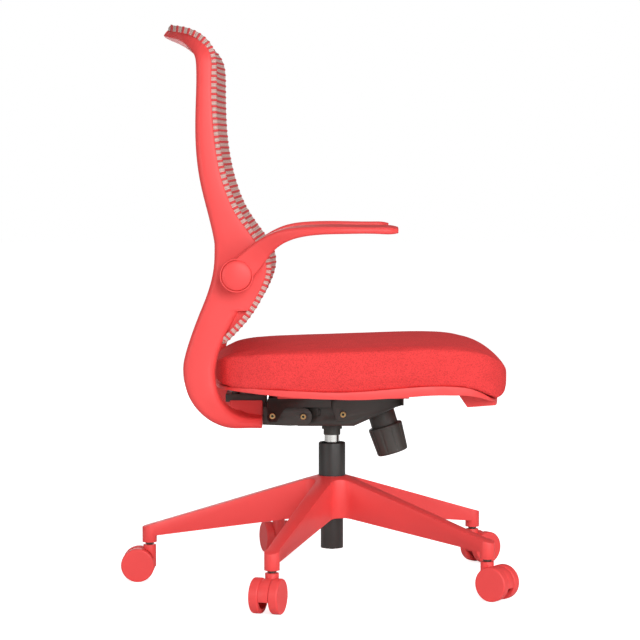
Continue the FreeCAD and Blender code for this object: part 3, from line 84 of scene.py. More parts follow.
MESH_LINE = (
    (-0.1935, 0.1395), (-0.144, 0.192), (-0.120, 0.232), (-0.1075, 0.286),
    (-0.134, 0.338), (-0.168, 0.388), (-0.1905, 0.449), (-0.204, 0.552),
    (-0.2045, 0.617), (-0.2125, 0.668), (-0.246, 0.6965), (-0.2875, 0.7047),
)
LIP_END = (-0.2820, 0.6965, -0.2958, 0.6812)
LIP_NOSE = 0.22
NOSE_TURNS = (1.35, 1.05, 0.7, 0.35)
LIP_STEP = 0.0012
ROW_STEP = 0.005
RAIL_SHARE = 0.94
RAIL_INSET = 0.0012
RAIL_TUCK = 9
CROWN_LENGTH = 0.120
CROWN_POWER = 2.4
CROWN_END = 0.995
TAPER = 0.17
TAPER_START = 0.45
MESH_AHEAD = 0.0022
MESH_LIFT = [(0.0, 0.0), (0.375, 0.0), (0.5, 1.0), (0.84, 1.0), (1.0, -1.1)]
MESH_TAIL = 0.0035
CROWN_SHIFT = (-0.0150, 0.0185)
HOLLOW = 0.022
HOLLOW_POWER = 0.7
UPRIGHT_DEPTHS = (
    (0.975, 0.016), (0.95, 0.019), (0.92, 0.022), (0.885, 0.0245), (0.85, 0.025), (0.8, 0.025),
    (0.7, 0.027), (0.6, 0.0325), (0.52, 0.037), (0.45, 0.0438), (0.4, 0.0575),
)
LOBE_REAR = ((-0.2085, 0.310), (-0.2098, 0.280), (-0.218, 0.242), (-0.232, 0.2045))
LOBE_HEIGHTS = (0.322, 0.282, 0.242, 0.2025)
LOWER_PAIRS = (
    (-0.166, 0.2015, -0.233, 0.2025), (-0.187, 0.161, -0.2485, 0.162),
    (-0.203, 0.122, -0.261, 0.122), (-0.208, 0.095, -0.2645, 0.095),
)
SCOOP_CENTRE = (-0.1565, 0.095)
SCOOP_RADIUS = 0.108
SCOOP = (
    (200, 0.054, 0.225, 0.192), (220, 0.047, 0.223, 0.176), (240, 0.036, 0.211, 0.136),
    (258, 0.025, 0.186, 0.070), (270, 0.019, 0.160, -0.016),
)
TONGUE_END = -0.128
TONGUE_FAR = 0.122
TONGUE_NEAR = 0.016
TONGUE_DROP = 0.004
TONGUE_DEEP = 0.015
TONGUE_LIFT = 0.0005
UPRIGHT_THICK = 0.030
UPRIGHT_ROUND = 0.011
CRISP_ROUND = 0.002
WEB_HEIGHTS = (0.145, 0.215)
WEB_REAR = (-0.201, -0.173)
WEB_SIDES = (0.200, 0.214)
WEB_GAP = 0.0006
SLOT_REAR = (-0.210, -0.182)
SLOT_SIDES = (0.180, 0.196)
TONGUE_REAR = -0.188
TONGUE_HALF = 0.062
TONGUE_TOP = 0.0415
CARRIER_BACK = 0.0099
CARRIER_FRONT = 0.0022
CARRIER_EDGE = 0.0018
CARRIER_WIDE = 0.016
CARRIER_ROUND = 0.006
UPRIGHT_AHEAD = 0.0024
AHEAD_FROM = (0.4, 0.6)

# Rows and columns of the mesh's sheet, in metres from its lower edge and in counts

SHEET_ENDS = (0.0, 0.002, 0.005, 0.009, 0.014, 0.020)
SHEET_START = 0.024
SHEET_GAP = 0.004
SHEET_ROWS = 140
CROWN_ROWS = 44
SHEET_COLUMNS = 48
ROLL_STEPS = 8
KNIT_PITCH = (0.0021, 0.0035)

# The arm, from its pivot: ahead, above, slope in degrees, height, share of the way out, width

ARM_PATH = (
    (0.000, 0.0000, 48, 0.0460, 0.00, 0.0355),
    (0.027, 0.0270, 46, 0.0420, 0.02, 0.0355),
    (0.050, 0.0500, 42, 0.0320, 0.25, 0.038),
    (0.080, 0.0680, 25, 0.0230, 0.60, 0.050),
    (0.125, 0.0775, 7, 0.0155, 0.90, 0.066),
    (0.185, 0.0795, 1, 0.0125, 1.00, 0.076),
    (0.250, 0.0790, -1, 0.0118, 1.00, 0.070),
    (0.274, 0.0783, -2, 0.0105, 1.00, 0.052),
    (0.281, 0.0780, -3, 0.0075, 1.00, 0.032),
)
ARM_HUB_RADIUS = 0.0295
ARM_HUB_WIDTH = 0.038
ARM_HUB_EDGE = 0.0018
ARM_ROUND = 0.0055
ARM_ROWS = 90
CAP_DOME = 0.006
CAP_EDGE = 0.0006
CAP_SEAT = 0.004
CAP_FLOOR = 0.001
CAP_GAP = 0.0005
CAP_TURN = 1.35
ARM_PAD_OUT = 0.040
ARM_PAD_LEAN = 0.004

# Rounding of moulded and folded edges, and the knob's grip

HOOD_EDGE = 0.0008
FOLD_EDGE = 0.0010
SHELL_ROUND = 0.0015
CREASE = 40
KNOB_ROUND = 0.004
KNOB_SWELL = 0.0015
KNOB_STEP = 0.0012

# The mechanism's sides: middle of their bow, its rate, and a slot mark on them, whose groove is painted dark
# as shade

BOW_MIDDLE = 0.015
BOW_RATE = 4.5
SLOT_MARK = (-0.0241, 0.3215)
SLOT_HALF = 0.0035
SLOT_RADIUS = 0.0022
SLOT_GROOVE = 0.0009
SLOT_SHADE_WIDTH = 0.0007
PIN_DRILL = 0.0026

# The seat: rim of the shell as X and the height above the seat plate, and outlines from above

RIM_LINE = (
    (-0.224, 0.041), (-0.102, 0.03025), (0.020, 0.0245), (0.1113, 0.03075),
    (0.1908, 0.035), (0.2544, 0.029), (0.338, 0.006),
)
SEAT_POWER = 4.6
FRONT_DROOP = 0.0145
DROOP_START = 0.225
DROOP_LENGTH = 0.060
SHELL_SAG = [(0.0, 0.0), (0.07, 0.003), (0.13, 0.0046), (0.21, 0.0036), (0.26, 0.0)]
SHELL_EDGE = 0.93
SAG_TOP = 0.85
REAR_DROOP = 0.0075
REAR_START = -0.040
REAR_LENGTH = 0.150
STRIP = 0.013
SEAT_REACH = 0.014
REACH_START = -0.140
CUSHION_TOP = 0.1145
CUSHION_SLOPE = 0.018
CUSHION_NOSE = 0.044
CUSHION_HEEL = 0.064
CUSHION_CROWN = 0.005
CUSHION_SINK = 0.0012
CUSHION_TUCK = 0.009
CUSHION_RINGS = 49
FOOT_POWER = 14
NOSE_POWER = 4.5
HEEL_POWER = 9.0
COVER_VOXEL = 0.005
COVER_PRESSURE = 4.0
HELD_HEIGHT = 0.012

# Curves and meshes


def spline_table(knots, rows, places):
    """Rows of numbers joined by natural cubic curves and read at other places."""
    knots = np.asarray(knots, float)
    rows = np.asarray(rows, float)
    places = np.asarray(places, float)
    gaps = np.diff(knots)
    count = len(knots)
    system = np.eye(count)
    right = np.zeros_like(rows)
    for i in range(1, count - 1):
        system[i, i - 1:i + 2] = gaps[i - 1], 2 * (gaps[i - 1] + gaps[i]), gaps[i]
        right[i] = 3 * ((rows[i + 1] - rows[i]) / gaps[i] - (rows[i] - rows[i - 1]) / gaps[i - 1])
    bend = np.linalg.solve(system, right)
    index = np.clip(np.searchsorted(knots, places, side="right") - 1, 0, count - 2)
    offset = (places - knots[index])[:, None]
    gap = gaps[index][:, None]
    slope = (rows[index + 1] - rows[index]) / gap - gap * (2 * bend[index] + bend[index + 1]) / 3
    curve = bend[index] + offset * (bend[index + 1] - bend[index]) / (3 * gap)
    return rows[index] + offset * (slope + offset * curve)


def along(points):
    """How far along a row of points each one lies."""
    steps = np.linalg.norm(np.diff(np.asarray(points, float), axis=0), axis=1)
    return np.concatenate([[0.0], np.cumsum(steps)])


def stepped(points, step):
    """The same line with points about one step apart."""
    table = np.asarray(points, float)
    run = along(table)
    places = np.linspace(0, run[-1], round(run[-1] / step) + 1)
    return np.stack([np.interp(places, run, column) for column in table.T], axis=1)


def smooth_line(points, step):
    """Points about one step apart on a smooth curve through the given ones."""
    knots = along(points)
    return stepped(spline_table(knots, points, np.linspace(0, knots[-1], 2000)), step)


def skin(rings, capped=True):
    """Points and faces of a tube over rings that have the same count of points."""
    count = len(rings[0])
    points = [tuple(point) for ring in rings for point in ring]
    faces = []
    for row in range(len(rings) - 1):
        for column in range(count):
            after = (column + 1) % count
            low, high = row * count, (row + 1) * count
            faces.append((low + column, low + after, high + after, high + column))
    if capped:
        faces.append(tuple(range(count)))
        faces.append(tuple(range((len(rings) - 1) * count, len(rings) * count)))
    return points, faces


def mesh_from(name, points, faces):
    """A smooth mesh without doubled points, whose normals point out."""
    mesh = bpy.data.meshes.new(name)
    mesh.from_pydata([tuple(point) for point in points], [], faces)
    build = bmesh.new()
    build.from_mesh(mesh)
    bmesh.ops.remove_doubles(build, verts=build.verts, dist=1e-6)
    bmesh.ops.dissolve_degenerate(build, edges=build.edges, dist=1e-7)
    bmesh.ops.recalc_face_normals(build, faces=build.faces)
    build.to_mesh(mesh)
    build.free()
    mesh.shade_smooth()
    return mesh


def joined(name, meshes):
    """One mesh that holds several."""
    build = bmesh.new()
    for mesh in meshes:
        build.from_mesh(mesh)
    whole = bpy.data.meshes.new(name)
    build.to_mesh(whole)
    build.free()
    whole.shade_smooth()
    return whole


def stood(name, data):
    """A new object of the scene."""
    made = bpy.data.objects.new(name, data)
    bpy.context.scene.collection.objects.link(made)
    return made


def taken(holder):
    """The mesh that an object's modifiers make, without the object."""
    shown = holder.evaluated_get(bpy.context.evaluated_depsgraph_get())
    mesh = bpy.data.meshes.new_from_object(shown)
    bpy.data.objects.remove(holder)
    return mesh


def modified(mesh, *modifiers):
    """The mesh after modifiers, each a kind and its settings."""
    holder = stood("holder", mesh)
    for kind, settings in modifiers:
        modifier = holder.modifiers.new(kind.title(), kind)
        for name, value in settings.items():
            setattr(modifier, name, value)
    return taken(holder)


def spots_of(mesh):
    return np.array([vertex.co for vertex in mesh.vertices])


def moved_to(mesh, spots):
    """The mesh with its points at other places."""
    mesh.vertices.foreach_set("co", spots.ravel())
    mesh.update()
    return mesh


def lathe(name, profile, steps=96):
    """A mesh turned about Z from an outline of radius and height that starts and ends on the axis."""
    turns = np.linspace(0, 2 * math.pi, steps, endpoint=False)
    points = [(r * math.cos(turn), r * math.sin(turn), h) for turn in turns for r, h in profile]
    count = len(profile)
    faces = []
    for row in range(steps):
        here, after = row * count, (row + 1) % steps * count
        faces += [(here + c, after + c, after + c + 1, here + c + 1) for c in range(count - 1)]
    return mesh_from(name, points, faces)


def corner_arc(before, corner, after, radius, steps):
    """Points that round one corner of an outline."""
    here = Vector(corner)
    to_before, to_after = Vector(before) - here, Vector(after) - here
    reach = min(radius, to_before.length * 0.45, to_after.length * 0.45)
    start, end = here + to_before.normalized() * reach, here + to_after.normalized() * reach
    shares = [step / steps for step in range(steps + 1)]
    return [tuple(start * (1 - t) ** 2 + here * 2 * t * (1 - t) + end * t ** 2) for t in shares]


def eased(corners, radius, steps=5):
    """An open outline whose inner corners are rounded."""
    outline = [corners[0]]
    for before, corner, after in zip(corners, corners[1:], corners[2:]):
        outline += corner_arc(before, corner, after, radius, steps)
    outline.append(corners[-1])
    return outline


def softened(corners, radius, steps=5):
    """A closed outline whose corners are all rounded."""
    outline = []
    for index, corner in enumerate(corners):
        following = corners[(index + 1) % len(corners)]
        outline += corner_arc(corners[index - 1], corner, following, radius, steps)
    return outline


def standing(axis, origin):
    """The matrix that stands a mesh made about Z on an axis."""
    turn = Vector(axis).normalized().to_track_quat("Z", "Y").to_matrix().to_4x4()
    return Matrix.Translation(Vector(origin)) @ turn


def creased(mesh):
    mesh.shade_smooth()
    mesh.set_sharp_from_angle(angle=math.radians(CREASE))
    return mesh


def piece(name, mesh, body, material, stands_for):
    """A finished piece that moves with a body and stands for nodes of the frame."""
    made = stood(name, mesh)
    mesh.materials.clear()
    mesh.materials.append(material)
    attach(made, body)
    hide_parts(*stands_for)
    return made


def edged_copy(name, width):
    """A copy of a node's mesh whose sharp edges are a little rounded."""
    build = bmesh.new()
    build.from_mesh(frame["nodes"][name].data)
    bmesh.ops.remove_doubles(build, verts=build.verts, dist=1e-6)
    bmesh.ops.dissolve_limit(
        build, angle_limit=math.radians(1.0), verts=build.verts, edges=build.edges, delimit=set()
    )
    plain = bpy.data.meshes.new(f"{name}_edged")
    build.to_mesh(plain)
    build.free()
    plain.shade_smooth()
    sharp = {"limit_method": "ANGLE", "angle_limit": math.radians(CREASE)}
    return creased(modified(plain, ("BEVEL", {"width": width, "segments": 2, **sharp})))


def edge(material, body, width, name):
    """Stands an edge-rounded copy in for a node."""
    piece(f"{name}_moulding", edged_copy(name, width), body, material, [name])


def dress(material, *nodes):
    """Gives nodes of the frame a finish."""
    for name in nodes:
        mesh = frame["nodes"][name].data
        mesh.materials.clear()
        mesh.materials.append(material)


# Node trees


def add(tree, kind, inputs=None, **settings):
    """A node with its settings and its inputs, which are values or other nodes' sockets."""
    made = tree.nodes.new(kind)
    for name, value in settings.items():
        setattr(made, name, value)
    for key, value in (inputs or {}).items():
        if isinstance(value, bpy.types.NodeSocket):
            tree.links.new(value, made.inputs[key])
        else:
            made.inputs[key].default_value = value
    return made


def feed(node, **sockets):
    """Links sockets to a node's inputs by their labels."""
    for label, socket in sockets.items():
        node.id_data.links.new(socket, node.inputs[label.replace("_", " ")])


def math_node(tree, operation, *values):
    return add(tree, "ShaderNodeMath", dict(enumerate(values)), operation=operation).outputs[0]


def ranged(tree, value, low, high, start=0.0, end=1.0):
    """A value mapped from one range to another and held inside it."""
    limits = {"Value": value, "From Min": low, "From Max": high, "To Min": start, "To Max": end}
    return add(tree, "ShaderNodeMapRange", limits).outputs[0]


def blended(tree, share, first, second):
    """A share of the way from one colour to another."""
    return add(tree, "ShaderNodeMix", {0: share, 6: first, 7: second}, data_type="RGBA").outputs[2]


def tinted(tree, colour, bright):
    return add(tree, "ShaderNodeHueSaturation", {"Color": colour, "Value": bright}).outputs[0]


def noise(tree, place, scale, detail=2.0):
    return add(tree, "ShaderNodeTexNoise", {"Vector": place, "Scale": scale, "Detail": detail}).outputs[0]


def bumped(tree, height, depth, strength):
    return add(tree, "ShaderNodeBump", {"Height": height, "Distance": depth, "Strength": strength}).outputs[0]


def object_place(tree):
    return add(tree, "ShaderNodeTexCoord").outputs["Object"]


def new_group(name, kind, inputs, outputs):
    """An empty group with named sockets, and its two end nodes."""
    tree = bpy.data.node_groups.new(name, kind)
    for label, socket, value in inputs:
        made = tree.interface.new_socket(label, in_out="INPUT", socket_type=socket)
        if value is not None:
            made.default_value = value
    for label, socket in outputs:
        tree.interface.new_socket(label, in_out="OUTPUT", socket_type=socket)
    return tree, add(tree, "NodeGroupInput"), add(tree, "NodeGroupOutput")


def kept(store, name):
    """Has a material or a node group made once under a name, and found again after that."""

    def wrap(make):
        return lambda: getattr(bpy.data, store).get(name) or make(name)

    return wrap


@kept("node_groups", "Moulded Grain")
def moulded_grain(name):
    """Shader group: fine grain, faint clouding and uneven gloss of a moulded or coated surface."""
    tree, start, end = new_group(
        name,
        "ShaderNodeTree",
        (
            ("Colour", "NodeSocketColor", (0.5, 0.5, 0.5, 1)),
            ("Grain", "NodeSocketFloat", 900.0),
            ("Roughness", "NodeSocketFloat", 0.4),
            ("Clouding", "NodeSocketFloat", 0.08),
        ),
        (("Colour", "NodeSocketColor"), ("Roughness", "NodeSocketFloat"), ("Height", "NodeSocketFloat")),
    )
    given, place = start.outputs, object_place(tree)
    cloud = math_node(tree, "SUBTRACT", noise(tree, place, 14.0, 3.0), 0.5)
    bright = math_node(tree, "MULTIPLY_ADD", cloud, given["Clouding"], 1.0)
    rough = math_node(tree, "MULTIPLY_ADD", cloud, 0.16, given["Roughness"])
    grain = noise(tree, place, given["Grain"])
    feed(end, Colour=tinted(tree, given["Colour"], bright), Roughness=rough, Height=grain)
    return tree


@kept("node_groups", "Woven Cloth")
def woven_cloth(name):
    """Shader group: threads of a close weave, with shade between them and loose darker flecks."""
    tree, start, end = new_group(
        name,
        "ShaderNodeTree",
        (
            ("Thread", "NodeSocketColor", (0.5, 0.05, 0.05, 1)),
            ("Shade", "NodeSocketColor", (0.1, 0.01, 0.01, 1)),
            ("Threads", "NodeSocketFloat", 420.0),
            ("Flecks", "NodeSocketFloat", 0.5),
        ),
        (("Colour", "NodeSocketColor"), ("Height", "NodeSocketFloat")),
    )
    given, place = start.outputs, object_place(tree)
    threads = {"Vector": place, "Scale": given["Threads"]}
    stitch = add(tree, "ShaderNodeTexVoronoi", threads, feature="SMOOTH_F1").outputs["Distance"]
    fleck = math_node(tree, "MULTIPLY", ranged(tree, noise(tree, place, 640.0), 0.56, 0.66), given["Flecks"])
    pit = ranged(tree, stitch, 0.35, 0.75, 0.0, 0.3)
    mixed = blended(tree, math_node(tree, "MAXIMUM", fleck, pit), given["Thread"], given["Shade"])
    drift = math_node(tree, "MULTIPLY_ADD", noise(tree, place, 22.0), 0.16, 0.92)
    feed(end, Colour=tinted(tree, mixed, drift), Height=math_node(tree, "SUBTRACT", 1.0, stitch))
    return tree


def principled(name, **values):
    """A material with a Principled shader whose even values are set on its own sockets."""
    material = bpy.data.materials.new(name)
    material.use_nodes = True
    tree = material.node_tree
    shader = tree.nodes["Principled BSDF"]
    for label, value in values.items():
        shader.inputs[label.replace("_", " ")].default_value = value
    return material, tree, shader


def coated(name, colour, roughness, grain=900.0, depth=0.00008, clouding=0.08, **values):
    """A moulded, painted or plated finish."""
    found = bpy.data.materials.get(name)
    if found:
        return found
    material, tree, shader = principled(name, **values)
    given = {"Colour": (*colour, 1), "Grain": grain, "Roughness": roughness, "Clouding": clouding}
    surface = add(tree, "ShaderNodeGroup", given, node_tree=moulded_grain()).outputs
    bump = bumped(tree, surface["Height"], depth, 0.6)
    feed(shader, Base_Color=surface["Colour"], Roughness=surface["Roughness"], Normal=bump)
    return material


def yarn(name, colour, threads, flecks, depth, strength, **values):
    """A woven finish."""
    material, tree, shader = principled(name, **values)
    shade = colours().cloth_shade
    given = {"Thread": (*colour, 1), "Shade": (*shade, 1), "Threads": threads, "Flecks": flecks}
    weave = add(tree, "ShaderNodeGroup", given, node_tree=woven_cloth()).outputs
    feed(shader, Base_Color=weave["Colour"], Normal=bumped(tree, weave["Height"], depth, strength))
    return material


def colours():
    return bpy.context.scene.chair_colours


def sizes():
    return bpy.context.scene.chair_sizes


def red_plastic():
    return coated("Red Moulded Nylon", colours().plastic, 0.46, Specular_IOR_Level=0.42)


def black_plastic():
    return coated("Black Moulded Nylon", colours().black, 0.42, depth=0.0001)


def black_steel():
    return coated("Black Powder Coat", colours().black, 0.46, grain=1400.0, depth=0.00012, clouding=0.2)


def chrome():
    return coated("Chrome Plate", colours().chrome, 0.14, depth=0.00001, clouding=0.03, Metallic=1.0)


def steel():
    return coated("Zinc Plate", colours().steel, 0.34, grain=600.0, depth=0.00003, Metallic=1.0)


@kept("materials", "Brass Pin")
def brass(name):
    """Brass whose drilled ends are painted dark inside as shade, as an attribute of the pin tells."""
    material = coated(name, colours().brass, 0.32, grain=600.0, depth=0.00003, Metallic=1.0)
    tree = material.node_tree
    colour = tree.nodes["Principled BSDF"].inputs["Base Color"]
    drill_shade = add(tree, "ShaderNodeAttribute", attribute_name="DrillShade").outputs["Fac"]
    # painted shade: faces inside the drilled ends are blended to black
    tree.links.new(blended(tree, drill_shade, colour.links[0].from_socket, (*colours().black, 1)), colour)
    return material


@kept("materials", "Black Bowed Coat")
def bowed_steel(name):
    """Black coat on the mechanism's sides, which are bowed and carry a small slot mark whose groove is
    painted dark as shade.
    """
    material = coated(name, colours().black, 0.40, grain=1400.0, depth=0.00012, clouding=0.2)
    tree = material.node_tree
    shader = tree.nodes["Principled BSDF"]
    place = add(tree, "ShaderNodeSeparateXYZ", {0: object_place(tree)}).outputs
    off = math_node(tree, "SUBTRACT", place["X"], BOW_MIDDLE)
    bow = math_node(tree, "MULTIPLY", math_node(tree, "MULTIPLY", off, off), -BOW_RATE)
    across = math_node(tree, "SUBTRACT", place["X"], SLOT_MARK[0])
    above = math_node(tree, "ABSOLUTE", math_node(tree, "SUBTRACT", place["Z"], SLOT_MARK[1]))
    beyond = math_node(tree, "MAXIMUM", math_node(tree, "SUBTRACT", above, SLOT_HALF), 0.0)
    squares = [math_node(tree, "MULTIPLY", value, value) for value in (across, beyond)]
    reach = math_node(tree, "SQRT", math_node(tree, "ADD", *squares))
    ring = math_node(tree, "ABSOLUTE", math_node(tree, "SUBTRACT", reach, SLOT_RADIUS))
    height = math_node(tree, "ADD", bow, ranged(tree, ring, 0.0, SLOT_GROOVE, -SLOT_GROOVE, 0.0))
    fine, plain = (shader.inputs[label].links[0].from_socket for label in ("Normal", "Base Color"))
    bump = add(tree, "ShaderNodeBump", {"Height": height, "Distance": 1.0, "Normal": fine}).outputs[0]
    # painted shade: the slot's groove is blended towards near black
    dark = blended(tree, ranged(tree, ring, 0.0, SLOT_SHADE_WIDTH, 0.8, 0.0), plain, (0.004, 0.004, 0.004, 1))
    feed(shader, Base_Color=dark, Normal=bump)
    return material


def column_steel():
    """Deeper black of the lift's tube, smoother than the mechanism's coat."""
    deep = tuple(0.35 * value for value in colours().black)
    return coated("Black Column Coat", deep, 0.40, grain=1400.0, depth=0.00006, Specular_IOR_Level=0.8)


def oiled_steel():
    return coated("Oiled Steel", colours().oiled, 0.38, grain=600.0, depth=0.00003, Metallic=1.0)


@kept("materials", "Plywood")
def plywood(name):
    """Layers of pale veneer."""
    material, tree, shader = principled(name, Roughness=0.7)
    stretch = add(tree, "ShaderNodeMapping", {"Vector": object_place(tree), "Scale": (3.0, 60.0, 60.0)})
    ramp = add(tree, "ShaderNodeValToRGB", {"Fac": noise(tree, stretch.outputs[0], 3.0, 6.0)})
    for element, colour in zip(ramp.color_ramp.elements, ((0.32, 0.2, 0.1, 1), (0.62, 0.46, 0.28, 1))):
        element.color = colour
    feed(shader, Base_Color=ramp.outputs[0])
    return material


@kept("materials", "Red Woven Cloth")
def cushion_cloth(name):
    return yarn(name, colours().cloth, 520.0, 0.45, 0.0007, 0.7, Roughness=0.9, Specular_IOR_Level=0.1)


@kept("materials", "Red Rib Yarn")
def rib_cloth(name):
    """Red yarn of the ribs across the back."""
    return yarn(name, colours().rib, 1100.0, 0.15, 0.0003, 0.6, Roughness=0.75)


@kept("materials", "Pale Open Knit")
def knit_cloth(name):
    """Pale open knit between the ribs: upright threads with small gaps between them."""
    material, tree, shader = principled(name, Roughness=0.8)
    laid = add(tree, "ShaderNodeUVMap", uv_map="Cut").outputs[0]
    cut = add(tree, "ShaderNodeSeparateXYZ", {0: laid}).outputs
    upright, level = (
        math_node(tree, "SINE", math_node(tree, "MULTIPLY", cut[axis], 2 * math.pi / pitch))
        for axis, pitch in enumerate(KNIT_PITCH)
    )
    height = math_node(tree, "ADD", upright, math_node(tree, "MULTIPLY", level, 0.4))
    tone = ranged(tree, height, -1.2, 0.9)
    feed(
        shader,
        Base_Color=blended(tree, tone, (*colours().knit_shade, 1), (*colours().knit, 1)),
        Alpha=ranged(tree, height, -1.4, -0.8, 0.35, 1.0),
        Normal=bumped(tree, height, 0.0004, 0.5),
    )
    return material


# Settings that a user would change


def colour_setting(name, description, default):
    return FloatVectorProperty(
        name=name, description=description, subtype="COLOR", size=3, min=0.0, max=1.0, default=default
    )


def length_setting(name, description, default):
    return FloatProperty(name=name, description=description, unit="LENGTH", min=0.0, default=default)


class ChairColours(bpy.types.PropertyGroup):
    """Colours of the chair's finishes."""

    plastic: colour_setting("Plastic", "Red of the moulded pieces", (0.84, 0.068, 0.066))
    cloth: colour_setting("Cloth", "Red of the cushion's threads", (0.82, 0.060, 0.060))
    cloth_shade: colour_setting("Cloth shade", "Red between the threads", (0.22, 0.012, 0.014))
    rib: colour_setting("Rib", "Red of the ribs across the back", (0.72, 0.058, 0.062))
    knit: colour_setting("Knit", "Pale thread between the ribs", (0.74, 0.54, 0.49))
    knit_shade: colour_setting("Knit shade", "Shade between the pale threads", (0.46, 0.25, 0.22))
    black: colour_setting("Black", "Column, mechanism and knob", (0.050, 0.047, 0.041))
    chrome: colour_setting("Chrome", "Gas cylinder", (0.80, 0.79, 0.76))
    steel: colour_setting("Steel", "Screws and axles", (0.55, 0.55, 0.54))
    oiled: colour_setting("Oiled steel", "Stems of the casters", (0.13, 0.10, 0.085))
    brass: colour_setting("Brass", "Pins of the mechanism", (0.60, 0.40, 0.18))


class ChairSizes(bpy.types.PropertyGroup):
    """Sizes of the details that the frame leaves open."""

    rib_pitch: length_setting("Rib pitch", "From one rib of the back to the next", 0.0105)
    rib_width: length_setting("Rib width", "Width of a rib along the back", 0.0043)
    rib_rise: length_setting("Rib rise", "Rib above the knit", 0.0011)
    mesh_roll: length_setting("Mesh roll", "Radius of the mesh round its carrier", 0.008)
    mesh_corner: length_setting("Mesh corner", "Rounding of the mesh's corners", 0.014)
    swell: length_setting("Swell", "How far the cushion's cover is pressed out", 0.003)
    edge_round: length_setting("Edge round", "Rounding of the base's edges", 0.0025)
    knob_grooves: IntProperty(name="Knob grooves", description="Grooves round the knob", min=3, default=9)
    knob_groove_depth: length_setting("Groove depth", "Depth of the grooves of the knob", 0.0012)


# Base and casters


class CHAIR_OT_base(bpy.types.Operator):
    """Five-legged base"""

    bl_idname = "chair.base"
    bl_label = "Base"

    def execute(self, context):
        edge(red_plastic(), "base", sizes().edge_round, "base_star")
        return {"FINISHED"}


class CHAIR_OT_casters(bpy.types.Operator):
    """Hoods, wheels, axles and stems of the five casters"""

    bl_idname = "chair.casters"
    bl_label = "Casters"

    def execute(self, context):
        dress(oiled_steel(), "caster_stems")
        for number in range(1, 6):
            dress(red_plastic(), f"wheel_{number}_left", f"wheel_{number}_right")
            edge(red_plastic(), f"caster_{number}", HOOD_EDGE, f"hood_{number}")
            dress(steel(), f"axle_{number}")
        return {"FINISHED"}


# Gas lift and mechanism


class CHAIR_OT_gas_lift(bpy.types.Operator):
    """Column tube, gas cylinder and what is inside them"""

    bl_idname = "chair.gas_lift"
    bl_label = "Gas Lift"

    def execute(self, context):
        edge(column_steel(), "base", SHELL_ROUND, "column_tube")
        dress(black_steel(), "taper_socket")
        dress(black_plastic(), "column_bush")
        dress(chrome(), "gas_cylinder", "piston_rod")
        dress(steel(), "thrust_bearing", "rod_clip", "valve_button")
        return {"FINISHED"}


def pin_mesh(name):
    """A copy of a cross pin that marks the insides of its drilled ends, which are painted dark as shade."""
    mesh = frame["nodes"][name].data.copy()
    low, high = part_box(name)
    middle = (low + high) / 2
    mark = mesh.attributes.new("DrillShade", "FLOAT", "FACE")
    for face in mesh.polygons:
        off = face.center - middle
        mark.data[face.index].value = float(math.hypot(off.x, off.z) < PIN_DRILL)
    return mesh


def knob_mesh():
    """The tension knob: a tapered grip with grooves along it and rounded edges."""
    axis = Vector(joints["tension_turn"]["axis"]).normalized()
    origin = Vector(joints["tension_turn"]["pos_m"])
    spots = spots_of(frame["nodes"]["tension_knob"].data) - np.array(origin)
    heights = spots @ np.array(axis)
    radii = np.linalg.norm(spots - np.outer(heights, np.array(axis)), axis=1)
    low, high = heights.min(), heights.max()
    wide = [radii[np.abs(heights - end) < KNOB_ROUND].max() + KNOB_SWELL for end in (low, high)]
    outline = eased(((0.0, low), (wide[0], low), (wide[1], high), (0.0, high)), KNOB_ROUND, 6)
    fine = stepped(outline, KNOB_STEP)
    count = sizes().knob_grooves
    rings = []
    for angle in np.linspace(0, 2 * math.pi, 24 * count, endpoint=False):
        groove = max(0.0, math.cos(angle * count)) ** 6
        ring = []
        for radius, height in fine:
            share = min(1.0, max(0.0, min(height - low, high - height) / KNOB_ROUND - 0.6))
            cut = radius - sizes().knob_groove_depth * groove * share * (radius / max(wide)) ** 3
            ring.append((cut * math.cos(angle), cut * math.sin(angle), height))
        rings.append(ring)
    mesh = mesh_from("knob_grip", *skin(rings + rings[:1], capped=False))
    mesh.transform(standing(axis, origin))
    return creased(mesh)


class CHAIR_OT_mechanism(bpy.types.Operator):
    """Tilt mechanism, its pins and brackets, and the height lever"""

    bl_idname = "chair.mechanism"
    bl_label = "Mechanism"

    def execute(self, context):
        edge(bowed_steel(), "lift", SHELL_ROUND, "mechanism_housing")
        edge(black_steel(), "lift", FOLD_EDGE, "spring_barrel")
        edge(black_steel(), "back", FOLD_EDGE, "back_carrier")
        edge(bowed_steel(), "seat", FOLD_EDGE, "seat_plate")
        dress(black_steel(), "lever_rod", "back_screws")
        for name, body in (("seat_pivot_pin", "lift"), ("back_pivot_pin", "lift"), ("link_pin", "back")):
            piece(f"{name}_turned", pin_mesh(name), body, brass(), [name])
        dress(steel(), "lever_pin", "tension_screw", "seat_screws")
        dress(black_plastic(), "lever_paddle")
        knob = knob_mesh()
        piece("knob_grip", knob, "knob", black_plastic(), ["tension_knob"])
        return {"FINISHED"}


# Seat


def rim_height(x):
    """Height of the shell's rim at places along the seat."""
    table = np.array(RIM_LINE)
    return plate_top + spline_table(table[:, 0], table[:, 1:], np.atleast_1d(x))[:, 0]


def front_droop(x):
    """How far the rim hangs lower towards the front of the seat."""
    return FRONT_DROOP * np.clip((np.atleast_1d(x) - DROOP_START) / DROOP_LENGTH, 0.0, 1.0) ** 2


def rear_droop(x):
    """How far the rim runs lower towards the rear of the seat."""
    return REAR_DROOP * np.clip((REAR_START - np.atleast_1d(x)) / REAR_LENGTH, 0.0, 1.3) ** 1.5


def cushion_floor(x):
    """Height of the rim that the cushion lies in."""
    return rim_height(x) - front_droop(x) - rear_droop(x)


